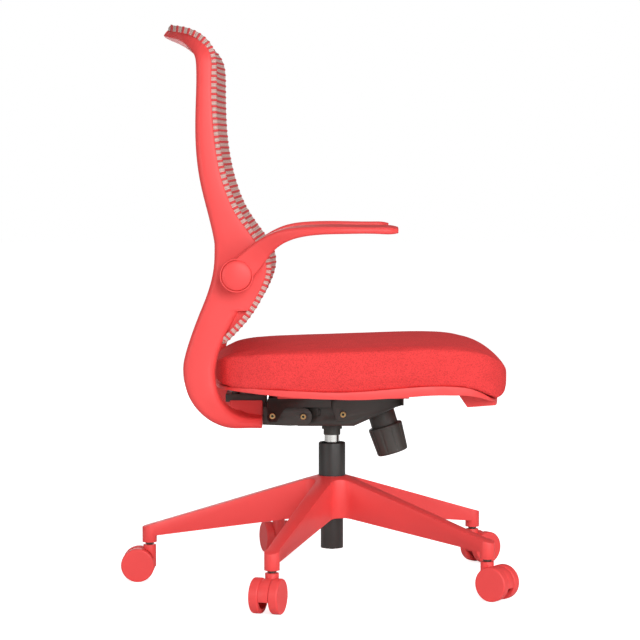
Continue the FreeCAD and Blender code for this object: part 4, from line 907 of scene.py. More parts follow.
def shell_mesh():
    """The seat's shell with rounded edges, drawn down at the front and out at the rear."""
    mesh = edged_copy("seat_pan", SHELL_ROUND)
    spots = spots_of(mesh)
    low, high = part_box("seat_pan")
    middle, half = np.array(low + high)[:2] / 2, np.array(high - low)[:2] / 2
    outward = (np.abs((spots[:, :2] - middle) / half) ** SEAT_POWER).sum(axis=1) ** (1 / SEAT_POWER)
    rim = rim_height(spots[:, 0])
    risen = np.clip((spots[:, 2] - plate_top) / (rim - plate_top), 0.0, 1.0)
    sag = np.interp(spots[:, 0], *zip(*SHELL_SAG)) * (outward > SHELL_EDGE) * (risen < SAG_TOP)
    upper = np.clip((spots[:, 2] - rim) / STRIP + 1, 0.0, 1.0)
    spots[:, 2] -= front_droop(spots[:, 0]) * risen + rear_droop(spots[:, 0]) * upper + sag
    spots[:, 0] -= SEAT_REACH * np.clip((REACH_START - spots[:, 0]) / (REACH_START - low.x), 0.0, 1.0) ** 2
    return moved_to(mesh, spots)


class CHAIR_OT_seat_shell(bpy.types.Operator):
    """Red shell under the cushion and the board inside it"""

    bl_idname = "chair.seat_shell"
    bl_label = "Seat Shell"

    def execute(self, context):
        piece("seat_shell", shell_mesh(), "seat", red_plastic(), ["seat_pan"])
        dress(plywood(), "seat_board")
        return {"FINISHED"}


def cushion_rings(shrink):
    """Rings across the cushion from its heel to its nose, a little inside the final cover."""
    low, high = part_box("seat_cushion")
    rear, front, half_width = low.x - SEAT_REACH, high.x, high.y
    middle, half = (front + rear) / 2, (front - rear) / 2
    shares = np.sin(np.linspace(-0.5, 0.5, CUSHION_RINGS) * math.pi * 0.985)
    rings = []
    for share in shares:
        x = middle + (half - shrink) * share
        width = (half_width - shrink) * (1 - abs(share) ** SEAT_POWER) ** (1 / SEAT_POWER)
        nose = plate_top + (CUSHION_NOSE if share > 0 else CUSHION_HEEL)
        bottom = cushion_floor(x)[0] - CUSHION_SINK
        foot = nose - (nose - bottom) * (1 - abs(share) ** FOOT_POWER) ** 0.5
        crown = plate_top + CUSHION_TOP - shrink - CUSHION_SLOPE * (1 - share) / 2
        fall = NOSE_POWER if share > 0 else HEEL_POWER
        top = nose + (crown - nose) * (1 - abs(share) ** fall) ** 0.5
        shoulder = top - min(CUSHION_CROWN * width / half_width, (top - foot) * 0.3)
        rings.append([(x, y, z) for y, z in cushion_section(width, foot, shoulder, top)])
    return rings


def cushion_section(width, foot, shoulder, top, flat=16, side=14, roof=24):
    """Outline of the cushion across the seat: flat foot, bulged walls drawn in below, crowned top."""
    tuck = min(CUSHION_TUCK, width * 0.1)
    wall = []
    for step in range(side):
        share = step / side
        bulge = math.sin(math.pi * min(1, share * 1.15) * 0.5) ** 0.8
        inward = tuck * (1 - bulge) + tuck * max(0, share - 0.62) ** 1.6
        wall.append((width - inward, foot + (shoulder - foot) * share))
    outline = [((2 * step / flat - 1) * (width - tuck), foot) for step in range(flat)] + wall
    for step in range(roof + 1):
        across = 1 - 2 * step / roof
        height = shoulder + (top - shoulder) * (1 - across ** 2) ** 0.8
        outline.append(((width - tuck * 0.38 ** 1.6) * across, height))
    return outline + [(-y, z) for y, z in reversed(wall[1:])]


def pressed_out(mesh, reach, frames=20):
    """The mesh as a cover that foam presses out from inside, its underside held."""
    scene = bpy.context.scene
    holder = stood("cover", mesh)
    rest = spots_of(mesh)
    held = holder.vertex_groups.new(name="Held")
    for index, height in enumerate(rest[:, 2] - cushion_floor(rest[:, 0])):
        held.add([index], float(np.clip(1.2 - height / HELD_HEIGHT, 0.0, 1.0)), "REPLACE")
    cloth = holder.modifiers.new("Cover", "CLOTH")
    cloth.settings.quality = 5
    cloth.settings.use_pressure = True
    cloth.settings.uniform_pressure_force = COVER_PRESSURE
    cloth.settings.effector_weights.gravity = 0.0
    cloth.settings.vertex_group_mass = "Held"
    cloth.collision_settings.use_collision = False
    for number in range(1, frames + 1):
        scene.frame_set(number)
    evaluated = holder.evaluated_get(bpy.context.evaluated_depsgraph_get())
    moved = spots_of(evaluated.data) - rest
    far = np.linalg.norm(moved, axis=1, keepdims=True)
    moved *= np.minimum(1.0, reach / np.maximum(far, 1e-9))
    bpy.data.objects.remove(holder)
    scene.frame_set(1)
    return moved_to(mesh, rest + moved)


def fill_plan(mesh, low, high):
    """Stretches a mesh to the length and width of a box."""
    spots = spots_of(mesh)
    for axis in (0, 1):
        least, most = spots[:, axis].min(), spots[:, axis].max()
        spots[:, axis] = low[axis] + (spots[:, axis] - least) * (high[axis] - low[axis]) / (most - least)
    moved_to(mesh, spots)


class CHAIR_OT_cushion(bpy.types.Operator):
    """Seat cushion in its woven cover"""

    bl_idname = "chair.cushion"
    bl_label = "Seat Cushion"

    def execute(self, context):
        swell = sizes().swell
        form = mesh_from("cushion_form", *skin(cushion_rings(swell)))
        voxels = {"mode": "VOXEL", "voxel_size": COVER_VOXEL, "use_smooth_shade": True}
        cover = modified(form, ("REMESH", voxels))
        cover = pressed_out(cover, swell)
        cover = modified(
            cover,
            ("SMOOTH", {"factor": 0.5, "iterations": 2}),
            ("SUBSURF", {"levels": 1, "render_levels": 1}),
        )
        cover.shade_smooth()
        low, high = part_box("seat_cushion")
        fill_plan(cover, low - Vector((SEAT_REACH, 0, 0)), high)
        made = piece("cushion_cover", cover, "seat", cushion_cloth(), ["seat_cushion"])
        return {"FINISHED"}


# Back


def mesh_curve(ahead=0.0):
    """The front of the mesh seen from the side, as X and Z about a millimetre apart."""
    line = smooth_line(MESH_LINE, 0.001) + np.array([0.0, back_pivot.z])
    lift = np.interp(np.linspace(0.0, 1.0, len(line)), *zip(*MESH_LIFT)) * ahead
    return line + front_normals(line) * lift[:, None]


def front_normals(line):
    """Unit normals of a side view that point forward."""
    ahead = np.gradient(line, axis=0)
    ahead /= np.linalg.norm(ahead, axis=1, keepdims=True)
    return np.stack([ahead[:, 1], -ahead[:, 0]], axis=1)


def rounded_ring(front, rear, near, far, front_round, rear_round, corner=6, flat=3, dome=0.0012):
    """A rounded rectangle between two points of the side view and two places across."""
    front, rear = np.asarray(front, float), np.asarray(rear, float)
    middle, inward = (front + rear) / 2, front - rear
    deep = np.linalg.norm(inward)
    inward = inward / deep
    half_u, half_v = deep / 2, abs(far - near) / 2
    most = 0.9 * min(half_u, half_v)
    arcs = []
    for quarter, (sign_u, sign_v) in enumerate(((1, 1), (-1, 1), (-1, -1), (1, -1))):
        radius = min(front_round if sign_u > 0 else rear_round, most)
        turns = np.linspace(quarter, quarter + 1, corner + 1) * math.pi / 2
        arcs.append(
            [(sign_u * (half_u - radius) + radius * math.cos(turn),
              sign_v * (half_v - radius) + radius * math.sin(turn)) for turn in turns]
        )
    outline = []
    for arc, following in zip(arcs, arcs[1:] + arcs[:1]):
        outline += arc
        for step in range(1, flat + 1):
            share = step / (flat + 1)
            outline.append(tuple(a + (b - a) * share for a, b in zip(arc[-1], following[0])))
    ring = []
    for u, v in outline:
        lift = dome * (1 - (u / half_u) ** 2) * (abs(v) / half_v) ** 4
        x, z = middle + inward * u
        ring.append((x, (near + far) / 2 + v + math.copysign(lift, v), z))
    return ring


def upright_rows():
    """Front, rear, near, far and front rounding down the frame's right side, from lip to tongue."""
    line = mesh_curve()
    normals, run = front_normals(line), along(line)
    face = line - normals * CARRIER_BACK
    pivot = np.array([0.0, back_pivot.z])
    upper = [np.array(LIP_END) + np.tile(pivot, 2)]
    for share, deep in UPRIGHT_DEPTHS:
        at = int(np.searchsorted(run, run[-1] * share))
        ahead = normals[at] * np.interp(share, AHEAD_FROM, (0.0, UPRIGHT_AHEAD))
        upper.append(np.concatenate([face[at] + ahead, face[at] - normals[at] * deep]))
    for height, rear in zip(LOBE_HEIGHTS, LOBE_REAR):
        at = int(np.argmin(np.abs(face[: len(face) // 2, 1] - height - back_pivot.z)))
        upper.append(np.concatenate([face[at], np.array(rear) + pivot]))
    across = [-back_half, UPRIGHT_THICK - back_half]
    upper = np.array([[*pair, *across, CRISP_ROUND] for pair in upper])
    lower = [
        [x1, z1 + back_pivot.z, x2, z2 + back_pivot.z, *across, UPRIGHT_ROUND]
        for x1, z1, x2, z2 in LOWER_PAIRS
    ]
    centre = np.array(SCOOP_CENTRE) + pivot
    for angle, deep, far, near in SCOOP:
        out = np.array([math.cos(math.radians(angle)), math.sin(math.radians(angle))])
        outer = centre + out * SCOOP_RADIUS
        lower.append([*(outer - out * deep), *outer, -far, -near, UPRIGHT_ROUND])
    foot = centre[1] - SCOOP_RADIUS
    tip = [TONGUE_END, foot + TONGUE_DEEP, TONGUE_END, foot - TONGUE_DROP]
    lower.append([*tip, -TONGUE_FAR, TONGUE_NEAR, UPRIGHT_ROUND])
    rows = []
    for table, fine in ((upper, CROWN_LENGTH / 2), (np.array(lower), 0.0)):
        knots = along((table[:, 0:2] + table[:, 2:4]) / 2)
        close = fine * np.linspace(0.0, 1.0, round(fine / LIP_STEP), endpoint=False) ** 2
        places = np.concatenate([close, np.linspace(fine, knots[-1], round(knots[-1] / ROW_STEP))])
        rows += list(spline_table(knots, table, places))
    return rounded_end(rows) + rows


def rounded_end(rows):
    """Rows that close the lip with a round nose."""
    first, second = rows[:2]
    middle, half = (first[0:2] + first[2:4]) / 2, (first[0:2] - first[2:4]) / 2
    ahead = middle - (second[0:2] + second[2:4]) / 2
    ahead *= np.linalg.norm(half) / np.linalg.norm(ahead)
    nose = []
    for turn in NOSE_TURNS:
        shift, thin = ahead * math.sin(turn) * LIP_NOSE, half * math.cos(turn)
        nose.append(np.concatenate([middle + shift + thin, middle + shift - thin, first[4:]]))
    return nose


def rail_rows(rows):
    """The lip's rows carried across the chair."""
    return [np.concatenate([row[:4], [-back_half, back_half, row[6]]]) for row in rows]


def tucked(rows, count):
    """The rows with the first few a little smaller, so that they hide inside the lip."""
    hidden = []
    for number, row in enumerate(rows):
        inset = RAIL_INSET * max(0.0, 1 - number / (count - 1))
        inward = (row[2:4] - row[0:2]) * inset / np.linalg.norm(row[2:4] - row[0:2])
        hidden.append(np.concatenate([row[0:2] + inward, row[2:4] - inward, [row[4] + inset], row[5:]]))
    return hidden


def up_the_back(line, spots, behind=0.0):
    """The nearest point of a line some way behind the mesh, and how far up the back it is, from 0 to 1."""
    track = line - front_normals(line) * behind
    steps = np.gradient(track, axis=0)
    near = np.array([np.argmin(((track - spot) ** 2).sum(axis=1)) for spot in spots])
    part = ((spots - track[near]) * steps[near]).sum(axis=1) / (steps[near] ** 2).sum(axis=1)
    run = along(line)
    return near, np.interp(near + part, np.arange(len(run)), run / run[-1])


def crown_share(risen, whole):
    """How much of its full width the back keeps."""
    turn = CROWN_END * np.clip((risen - 1) * whole / CROWN_LENGTH + 1, 0.0, 1.0)
    taper = np.clip((risen - TAPER_START) / (1 - TAPER_START), 0.0, 1.0)
    return (1 - turn ** CROWN_POWER) ** (1 / CROWN_POWER) * (1 - TAPER * taper)


def row_rings(rows):
    """A ring for each row, drawn in to the crown of the back."""
    line = mesh_curve()
    fronts = np.array([np.array(LIP_END[:2]) + (0.0, back_pivot.z)] + [row[0:2] for row in rows])
    risen = up_the_back(line, fronts, CARRIER_BACK - UPRIGHT_AHEAD)[1]
    shares = crown_share(np.minimum(risen[1:] / risen[0], 1.0), along(line)[-1])
    rings = []
    for row, share in zip(rows, shares):
        ring = np.array(rounded_ring(row[0:2], row[2:4], row[4], row[5], row[6], UPRIGHT_ROUND))
        ring[:, 1] *= share
        ring[:, [0, 2]] += (1 - share) * np.array(CROWN_SHIFT)
        rings.append([tuple(spot) for spot in ring])
    return rings


def crowned(mesh):
    """Draws the top of what covers the back in to a rounded crown, and hollows its middle."""
    line = mesh_curve()
    spots = spots_of(mesh)
    near, risen = up_the_back(line, spots[:, [0, 2]])
    share = crown_share(risen, along(line)[-1])
    middle = np.clip(1 - (spots[:, 1] / mesh_half) ** 2, 0.0, 1.0)
    dip = HOLLOW * middle * np.sin(math.pi * risen) ** HOLLOW_POWER
    spots[:, [0, 2]] += np.outer(1 - share, CROWN_SHIFT) - front_normals(line)[near] * dip[:, None]
    spots[:, 1] *= share
    return moved_to(mesh, spots)


def web_outline(rear):
    """The recessed web between the lobe, the upright and the foot of the mesh."""
    line = mesh_curve()
    face = line - front_normals(line) * (CARRIER_BACK + WEB_GAP)
    low, high = (height + back_pivot.z for height in WEB_HEIGHTS)
    front = [tuple(spot) for spot in face[: len(face) // 3] if low < spot[1] < high]
    return front[::6] + [(rear[1], high), (rear[0], low)]


def bar(name, corners, low, high):
    """A straight bar across the chair on a section seen from the side."""
    rings = [[(x, y, z) for x, z in corners] for y in (low, high)]
    return mesh_from(name, *skin(rings))


def mirrored(mesh):
    """The same mesh on the other side of the chair."""
    copy = mesh.copy()
    copy.transform(Matrix.Diagonal((1, -1, 1, 1)))
    copy.flip_normals()
    return copy


class CHAIR_OT_back_frame(bpy.types.Operator):
    """Moulded frame of the back with its lip, lobes, scoop and tongue"""

    bl_idname = "chair.back_frame"
    bl_label = "Back Frame"

    def execute(self, context):
        rows = upright_rows()
        line = mesh_curve()
        ahead = line[int(len(line) * RAIL_SHARE), 0]
        lip = sum(row[0] < ahead for row in rows[: len(rows) // 4])
        rail = mesh_from("frame_rail", *skin(row_rings(rail_rows(rows[:lip]))))
        right = mesh_from("frame_side", *skin(row_rings(tucked(rows[lip - RAIL_TUCK:], RAIL_TUCK))))
        web = joined("frame_web", [
            bar("web", web_outline(WEB_REAR), *(-side for side in WEB_SIDES)),
            bar("slot", web_outline(SLOT_REAR), *(-side for side in SLOT_SIDES)),
        ])
        foot = SCOOP_CENTRE[1] + back_pivot.z - SCOOP_RADIUS + TONGUE_LIFT
        ledge = foot + TONGUE_TOP
        section = ((TONGUE_REAR, foot), (TONGUE_END, foot), (TONGUE_END, ledge), (TONGUE_REAR, ledge))
        tongue = bar("frame_tongue", softened(section, CRISP_ROUND), -TONGUE_HALF, TONGUE_HALF)
        whole = creased(joined("upright_frame", [right, mirrored(right), web, mirrored(web), tongue, rail]))
        piece("upright_frame", whole, "back", red_plastic(), ["back_frame"])
        return {"FINISHED"}


def carrier_mesh():
    """The rail round the mesh, which the mesh's edge is rolled over."""
    line = mesh_curve(MESH_AHEAD)
    normals = front_normals(line)
    front, rear = line - normals * CARRIER_FRONT, line - normals * CARRIER_BACK
    reach = mesh_half - CARRIER_EDGE
    rounds = (CARRIER_ROUND, CRISP_ROUND)
    count = len(line)
    runs = (
        (range(8, count - 8, 5), -reach, CARRIER_WIDE - reach),
        (range(8, count - 8, 5), reach - CARRIER_WIDE, reach),
        (range(8, 24, 3), -reach, reach),
        (range(count - 24, count - 8, 3), -reach, reach),
    )
    rails = []
    for places, near, far in runs:
        rings = [rounded_ring(front[at], rear[at], near, far, *rounds, dome=0.0) for at in places]
        rails.append(mesh_from("carrier_run", *skin(rings)))
    return creased(joined("carrier_rail", rails))


def mesh_sheet():
    """The stretched mesh with its rolled edges, and the width and length of its flat cut."""
    line = mesh_curve(MESH_AHEAD)
    normals, run = front_normals(line), along(line)
    long = run[-1]
    roll = sizes().mesh_roll
    bend = sizes().mesh_corner - roll
    crown = np.linspace(long - roll - CROWN_LENGTH / 2, long - roll, CROWN_ROWS)
    body = np.linspace(roll + SHEET_START, crown[0] - SHEET_GAP, SHEET_ROWS)
    rows = np.concatenate([roll + np.array(SHEET_ENDS), body, crown])
    short = np.maximum(0.0, bend - (rows - roll))
    halves = mesh_half - roll - bend + np.sqrt(np.maximum(0.0, bend ** 2 - short ** 2))
    count = SHEET_COLUMNS + 1
    cut = np.stack([np.outer(halves, np.linspace(-1, 1, count)).ravel(), np.repeat(rows, count)], axis=1)
    grid = np.arange(len(cut)).reshape(len(rows), count)
    faces = [(a, a + 1, a + count + 1, a + count) for a in grid[:-1, :-1].ravel().tolist()]
    border = np.concatenate([grid[0, :-1], grid[:-1, -1], grid[-1, :0:-1], grid[:0:-1, 0]])
    rim = cut[border]
    step = np.roll(rim, -1, axis=0) - np.roll(rim, 1, axis=0)
    out = np.stack([step[:, 1], -step[:, 0]], axis=1)
    out /= np.linalg.norm(out, axis=1, keepdims=True)
    angles = np.linspace(0, math.pi / 2, ROLL_STEPS + 1)[1:]
    turns = [(math.sin(angle), 1 - math.cos(angle), roll * angle) for angle in angles]
    turns.append((1.0, 1.0 + MESH_TAIL / roll, roll * math.pi / 2 + MESH_TAIL))
    spots, flat, before = [np.pad(cut, ((0, 0), (0, 1)))], [cut], border
    for number, (reach, deep, spread) in enumerate(turns):
        spots.append(np.column_stack([rim + out * roll * reach, np.full(len(rim), roll * deep)]))
        flat.append(rim + out * spread)
        ring = len(cut) + number * len(rim) + np.arange(len(rim))
        faces += np.stack([before, np.roll(before, -1), np.roll(ring, -1), ring], axis=1).tolist()
        before = ring
    y, s, deep = np.concatenate(spots).T
    held = np.clip(s, 0.0, long)
    over = s - held
    x, z, nx, nz = (np.interp(held, run, values) for values in (*line.T, *normals.T))
    mesh = bpy.data.meshes.new("mesh_cloth")
    points = np.stack([x - nx * deep - nz * over, y, z - nz * deep + nx * over], axis=1)
    mesh.from_pydata(points.tolist(), [], faces)
    layer = mesh.uv_layers.new(name="Cut")
    laid = np.concatenate(flat)
    for loop in mesh.loops:
        layer.data[loop.index].uv = laid[loop.vertex_index]
    mesh.shade_smooth()
    spread = roll * (math.pi / 2 - 1) + MESH_TAIL
    return mesh, 2 * (mesh_half + spread), long + 2 * spread


def rib_tree():
    """Geometry tree: ribs across the mesh at an even pitch along its side view."""
    tree, start, end = new_group(
        "Back Ribs",
        "GeometryNodeTree",
        (
            ("Geometry", "NodeSocketGeometry", None),
            ("Rib Path", "NodeSocketObject", None),
            ("Pitch", "NodeSocketFloat", 0.0105),
            ("Width", "NodeSocketFloat", 0.0038),
            ("Rise", "NodeSocketFloat", 0.001),
            ("Corner", "NodeSocketFloat", 0.03),
            ("Half", "NodeSocketFloat", 0.22),
            ("Material", "NodeSocketMaterial", None),
        ),
        (("Geometry", "NodeSocketGeometry"),),
    )
    given = start.outputs
    spine = add(tree, "GeometryNodeMeshToCurve", {"Mesh": given["Geometry"]}).outputs[0]
    spacing = {"Curve": spine, "Length": given["Pitch"]}
    spaced = add(tree, "GeometryNodeResampleCurve", spacing, mode="LENGTH").outputs[0]
    where = add(tree, "GeometryNodeSplineParameter").outputs["Length"]
    short = math_node(tree, "SUBTRACT", 1.0, math_node(tree, "DIVIDE", where, given["Corner"]))
    inside = math_node(tree, "MAXIMUM", short, 0.0)
    square = math_node(tree, "MULTIPLY", inside, inside)
    arc = math_node(tree, "SQRT", math_node(tree, "SUBTRACT", 1.0, square))
    lost = math_node(tree, "MULTIPLY", math_node(tree, "SUBTRACT", 1.0, arc), given["Corner"])
    share = math_node(tree, "SUBTRACT", 1.0, math_node(tree, "DIVIDE", lost, given["Half"]))
    scale = add(tree, "ShaderNodeCombineXYZ", {"X": 1.0, "Y": share, "Z": 1.0}).outputs[0]
    path = add(tree, "GeometryNodeObjectInfo", {"Object": given["Rib Path"]}).outputs["Geometry"]
    oval = add(tree, "GeometryNodeCurvePrimitiveCircle", {"Resolution": 8, "Radius": 1.0}).outputs[0]
    half_width = math_node(tree, "MULTIPLY", given["Width"], 0.5)
    thin = add(tree, "ShaderNodeCombineXYZ", {"X": given["Rise"], "Y": half_width, "Z": 1.0}).outputs[0]
    section = add(tree, "GeometryNodeTransform", {"Geometry": oval, "Scale": thin}).outputs[0]
    swept = {"Curve": path, "Profile Curve": section, "Fill Caps": True}
    rib = add(tree, "GeometryNodeCurveToMesh", swept).outputs[0]
    tangent = add(tree, "GeometryNodeInputTangent").outputs[0]
    turn = {"axis": "Z", "pivot_axis": "Y"}
    facing = add(tree, "FunctionNodeAlignRotationToVector", {"Vector": tangent}, **turn).outputs[0]
    copies = {"Points": spaced, "Instance": rib, "Rotation": facing, "Scale": scale}
    spread = add(tree, "GeometryNodeInstanceOnPoints", copies).outputs[0]
    real = add(tree, "GeometryNodeRealizeInstances", {0: spread}).outputs[0]
    smooth = add(tree, "GeometryNodeSetShadeSmooth", {0: real}).outputs[0]
    paint = {"Geometry": smooth, "Material": given["Material"]}
    feed(end, Geometry=add(tree, "GeometryNodeSetMaterial", paint).outputs[0])
    return tree


def grown(name, seed, tree, **inputs):
    """The plain mesh that a geometry tree makes from a seed mesh."""
    holder = stood(name, seed)
    modifier = holder.modifiers.new("Nodes", "NODES")
    modifier.node_group = tree
    for label, value in inputs.items():
        modifier[tree.interface.items_tree[label.replace("_", " ")].identifier] = value
    holder.update_tag()
    mesh = taken(holder)
    mesh.name = name
    return mesh


def rib_path():
    """The way of one rib: round one edge of the mesh, across it and round the other edge."""
    roll = sizes().mesh_roll
    turn = [
        (roll * (1 - math.cos(angle)), mesh_half - roll + roll * math.sin(angle))
        for angle in np.linspace(0, math.pi / 2, 7)
    ]
    turn.append((roll + MESH_TAIL, mesh_half))
    flat = [(0.0, across) for across in np.linspace(roll - mesh_half, mesh_half - roll, 24)[1:-1]]
    way = [(-deep, -across) for deep, across in reversed(turn)] + flat
    way += [(-deep, across) for deep, across in turn]
    curve = bpy.data.curves.new("rib_path", "CURVE")
    curve.dimensions = "3D"
    spline = curve.splines.new("POLY")
    spline.points.add(len(way) - 1)
    for point, (x, y) in zip(spline.points, way):
        point.co = (x, y, 0.0, 1.0)
    return stood("rib_path", curve)


class CHAIR_OT_back_mesh(bpy.types.Operator):
    """Ribbed mesh of the back and the rail that it is stretched on"""

    bl_idname = "chair.back_mesh"
    bl_label = "Back Mesh"

    def execute(self, context):
        rail = crowned(carrier_mesh())
        piece("carrier_rail", rail, "back", red_plastic(), ["mesh_carrier"])
        cloth, width, length = mesh_sheet()
        crowned(cloth)
        knit = piece("back_knit", cloth, "back", knit_cloth(), ["back_mesh"])
        line = mesh_curve(MESH_AHEAD)
        seed = bpy.data.meshes.new("rib_spine")
        ends = line[6:-6]
        seed.from_pydata(
            [(x, 0.0, z) for x, z in ends], [(i, i + 1) for i in range(len(ends) - 1)], []
        )
        path = rib_path()
        ribs = grown(
            "back_ribs", seed, rib_tree(), Rib_Path=path, Pitch=sizes().rib_pitch,
            Width=sizes().rib_width, Rise=sizes().rib_rise, Corner=sizes().mesh_corner,
            Half=mesh_half, Material=rib_cloth(),
        )
        bpy.data.objects.remove(path)
        crowned(ribs)
        rows = piece("back_ribs", ribs, "back", rib_cloth(), ["back_mesh"])
        return {"FINISHED"}


# Arms


def arm_mesh(side, word):
    """One arm, its hub and pad in one moulding."""
    pivot = Vector(joints[f"arm_{word}_flip"]["pos_m"])
    low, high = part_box(f"arm_{word}")
    cap_low, cap_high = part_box(f"arm_cap_{word}")
    face = min(abs(low.y), abs(high.y))
    hub_mid = face + ARM_HUB_WIDTH / 2
    table = np.array(ARM_PATH)
    knots = along(table[:, 0:2])
    rows = spline_table(knots, table, np.linspace(0, knots[-1], ARM_ROWS))
    rings = []
    for ahead, above, slope, tall, share, wide in rows:
        lean = math.radians(slope)
        up = np.array([-math.sin(lean), math.cos(lean)]) * tall / 2
        middle = np.array([pivot.x + ahead, pivot.z + above])
        across = side * (hub_mid + ARM_PAD_OUT * share)
        edge_round = min(ARM_ROUND, tall * 0.42)
        ring = rounded_ring(middle + up, middle - up, across - wide / 2, across + wide / 2,
                            edge_round, edge_round, dome=0.0006)
        outer = abs(across) + wide / 2
        rings.append([(x, y, z + ARM_PAD_LEAN * share * (outer - abs(y)) / wide) for x, y, z in ring])
    blade = mesh_from("arm_blade", *skin(rings))
    well = (cap_high.x - cap_low.x) / 2 + CAP_GAP
    sunk = ARM_HUB_WIDTH - CAP_SEAT - CAP_FLOOR
    outline = (
        (0.0, 0.0), (ARM_HUB_RADIUS, 0.0), (ARM_HUB_RADIUS, ARM_HUB_WIDTH), (well, ARM_HUB_WIDTH),
        (well, sunk), (0.0, sunk),
    )
    hub = lathe("arm_hub", eased(outline, ARM_HUB_EDGE))
    hub.transform(standing((0, side, 0), (pivot.x, side * face, pivot.z)))
    return creased(joined(f"arm_{word}_moulding", [blade, hub]))


def cap_mesh(side, word):
    """The domed cover of an arm's hub."""
    pivot = Vector(joints[f"arm_{word}_flip"]["pos_m"])
    low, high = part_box(f"arm_cap_{word}")
    radius = (high.x - low.x) / 2
    rise = high.y - low.y - CAP_DOME
    turns = np.linspace(CAP_TURN, 0, 14)
    dome = [(radius * math.sin(turn), rise + CAP_DOME * math.cos(turn)) for turn in turns]
    mesh = lathe(f"arm_cap_{word}_dome", [(0.0, 0.0), (radius, 0.0), (radius, rise - CAP_EDGE)] + dome)
    foot = low.y if side > 0 else high.y
    mesh.transform(standing((0, side, 0), (pivot.x, foot, pivot.z)))
    return creased(mesh)


class CHAIR_OT_arms(bpy.types.Operator):
    """Flip-up arms with their covers, washers and bolts"""

    bl_idname = "chair.arms"
    bl_label = "Arms"

    def execute(self, context):
        for side, word in SIDES:
            mesh = arm_mesh(side, word)
            piece(f"arm_{word}_moulding", mesh, f"arm_{word}", red_plastic(), [f"arm_{word}"])
            dome = cap_mesh(side, word)
            piece(f"arm_{word}_dome", dome, f"arm_{word}", red_plastic(), [f"arm_cap_{word}"])
            dress(black_plastic(), f"arm_washer_{word}")
            dress(steel(), f"arm_bolt_{word}")
        return {"FINISHED"}


# Stage: camera, strengths of the white surround, and lamps as name, place, size and watts

CAMERA_PLACE = (-0.0223, -4.23, 0.72)
FOCAL_PIXELS = 2276.0
FRAME_PIXELS = 640.0
HORIZON_PIXEL = 195.0
SENSOR_MM = 36.0
AMBIENT = 0.31
AMBIENT_MIRRORED = 0.10
FLOOR_GLOW = 0.80
FLOOR_HALF = 30.0
LAMPS = (
    ("key", (1.1, -4.3, 2.0), 2.4, 118),
    ("right_fill", (3.0, -2.4, 1.2), 1.6, 34),
    ("left_fill", (-3.0, -2.4, 1.2), 1.6, 25),
    ("top", (0.0, 0.3, 3.4), 2.6, 12),
    ("rear_fill", (-1.2, 4.2, 1.0), 2.4, 26),
)


def lamp(name, place, target, size, watts):
    light = bpy.data.lights.new(name, "AREA")
    light.shape = "DISK"
    light.size = size
    light.energy = watts
    made = stood(name, light)
    made.location = place
    made.rotation_euler = (target - Vector(place)).to_track_quat("-Z", "Y").to_euler()


def white_world():
    """Even light that the camera sees as white and that is dimmer in reflections."""
    world = bpy.data.worlds.new("Studio")
    world.use_nodes = True
    tree = world.node_tree
    rays = add(tree, "ShaderNodeLightPath").outputs
    seen = math_node(tree, "MAXIMUM", rays["Is Camera Ray"], rays["Is Transmission Ray"])
    shown = math_node(tree, "MULTIPLY_ADD", seen, 1.0 - AMBIENT, AMBIENT)
    less = math_node(tree, "MULTIPLY", rays["Is Glossy Ray"], AMBIENT - AMBIENT_MIRRORED)
    background = tree.nodes["Background"]
    background.inputs["Color"].default_value = (1.0, 1.0, 1.0, 1.0)
    feed(background, Strength=math_node(tree, "SUBTRACT", shown, less))
    bpy.context.scene.world = world


def floor_paint():
    """Pale floor that shows white but keeps the chair's shadow."""
    material, tree, shader = principled(
        "Pale Floor", Roughness=0.9, Base_Color=(0.86, 0.86, 0.86, 1), Emission_Color=(1, 1, 1, 1)
    )
    rays = add(tree, "ShaderNodeLightPath").outputs
    feed(shader, Emission_Strength=math_node(tree, "MULTIPLY", rays["Is Camera Ray"], FLOOR_GLOW))
    return material


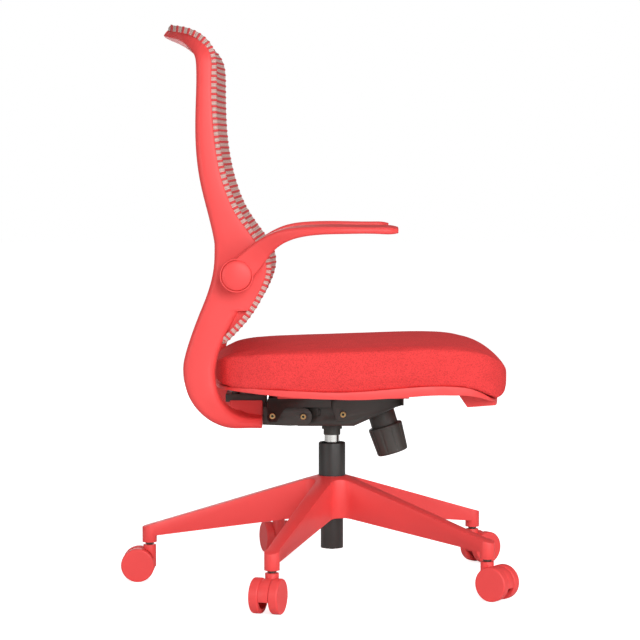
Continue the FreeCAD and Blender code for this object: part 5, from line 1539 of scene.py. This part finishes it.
class CHAIR_OT_stage(bpy.types.Operator):
    """Floor, studio light and camera"""

    bl_idname = "chair.stage"
    bl_label = "Stage"

    def execute(self, context):
        scene = context.scene
        scene.view_settings.view_transform = "Standard"
        white_world()
        corners = [(FLOOR_HALF * x, FLOOR_HALF * y, 0) for x, y in ((-1, -1), (1, -1), (1, 1), (-1, 1))]
        ground = mesh_from("floor", corners, [(0, 1, 2, 3)])
        ground.materials.append(floor_paint())
        stood("floor", ground)
        middle = (cad_low + cad_high) / 2
        for name, place, size, watts in LAMPS:
            lamp(name, place, middle, size, watts)
        camera = bpy.data.cameras.new("photo_view")
        camera.sensor_width = SENSOR_MM
        camera.lens = FOCAL_PIXELS / FRAME_PIXELS * SENSOR_MM
        view = stood("photo_view", camera)
        view.location = CAMERA_PLACE
        drop = math.atan((FRAME_PIXELS / 2 - HORIZON_PIXEL) / FOCAL_PIXELS)
        view.rotation_euler = (math.pi / 2 - drop, 0, 0)
        scene.camera = view
        return {"FINISHED"}


# Panel and registration

OPERATORS = (
    CHAIR_OT_base,
    CHAIR_OT_casters,
    CHAIR_OT_gas_lift,
    CHAIR_OT_mechanism,
    CHAIR_OT_seat_shell,
    CHAIR_OT_cushion,
    CHAIR_OT_back_frame,
    CHAIR_OT_back_mesh,
    CHAIR_OT_arms,
    CHAIR_OT_stage,
)


class VIEW3D_PT_chair(bpy.types.Panel):
    """Buttons and settings of the chair's finish"""

    bl_label = "Office Chair"
    bl_space_type = "VIEW_3D"
    bl_region_type = "UI"
    bl_category = "Chair"

    def draw(self, context):
        for operator in OPERATORS:
            self.layout.operator(operator.bl_idname)
        for settings in (context.scene.chair_colours, context.scene.chair_sizes):
            for name in settings.__annotations__:
                self.layout.prop(settings, name)


CLASSES = (ChairColours, ChairSizes, *OPERATORS, VIEW3D_PT_chair)


def register():
    for entry in CLASSES:
        bpy.utils.register_class(entry)
    bpy.types.Scene.chair_colours = PointerProperty(type=ChairColours)
    bpy.types.Scene.chair_sizes = PointerProperty(type=ChairSizes)


def unregister():
    del bpy.types.Scene.chair_sizes
    del bpy.types.Scene.chair_colours
    for entry in reversed(CLASSES):
        bpy.utils.unregister_class(entry)


def main():
    register()
    bpy.ops.chair.base()
    bpy.ops.chair.casters()
    bpy.ops.chair.gas_lift()
    bpy.ops.chair.mechanism()
    bpy.ops.chair.seat_shell()
    bpy.ops.chair.cushion()
    bpy.ops.chair.back_frame()
    bpy.ops.chair.back_mesh()
    bpy.ops.chair.arms()
    bpy.ops.chair.stage()


if __name__ == "__main__":
    main()
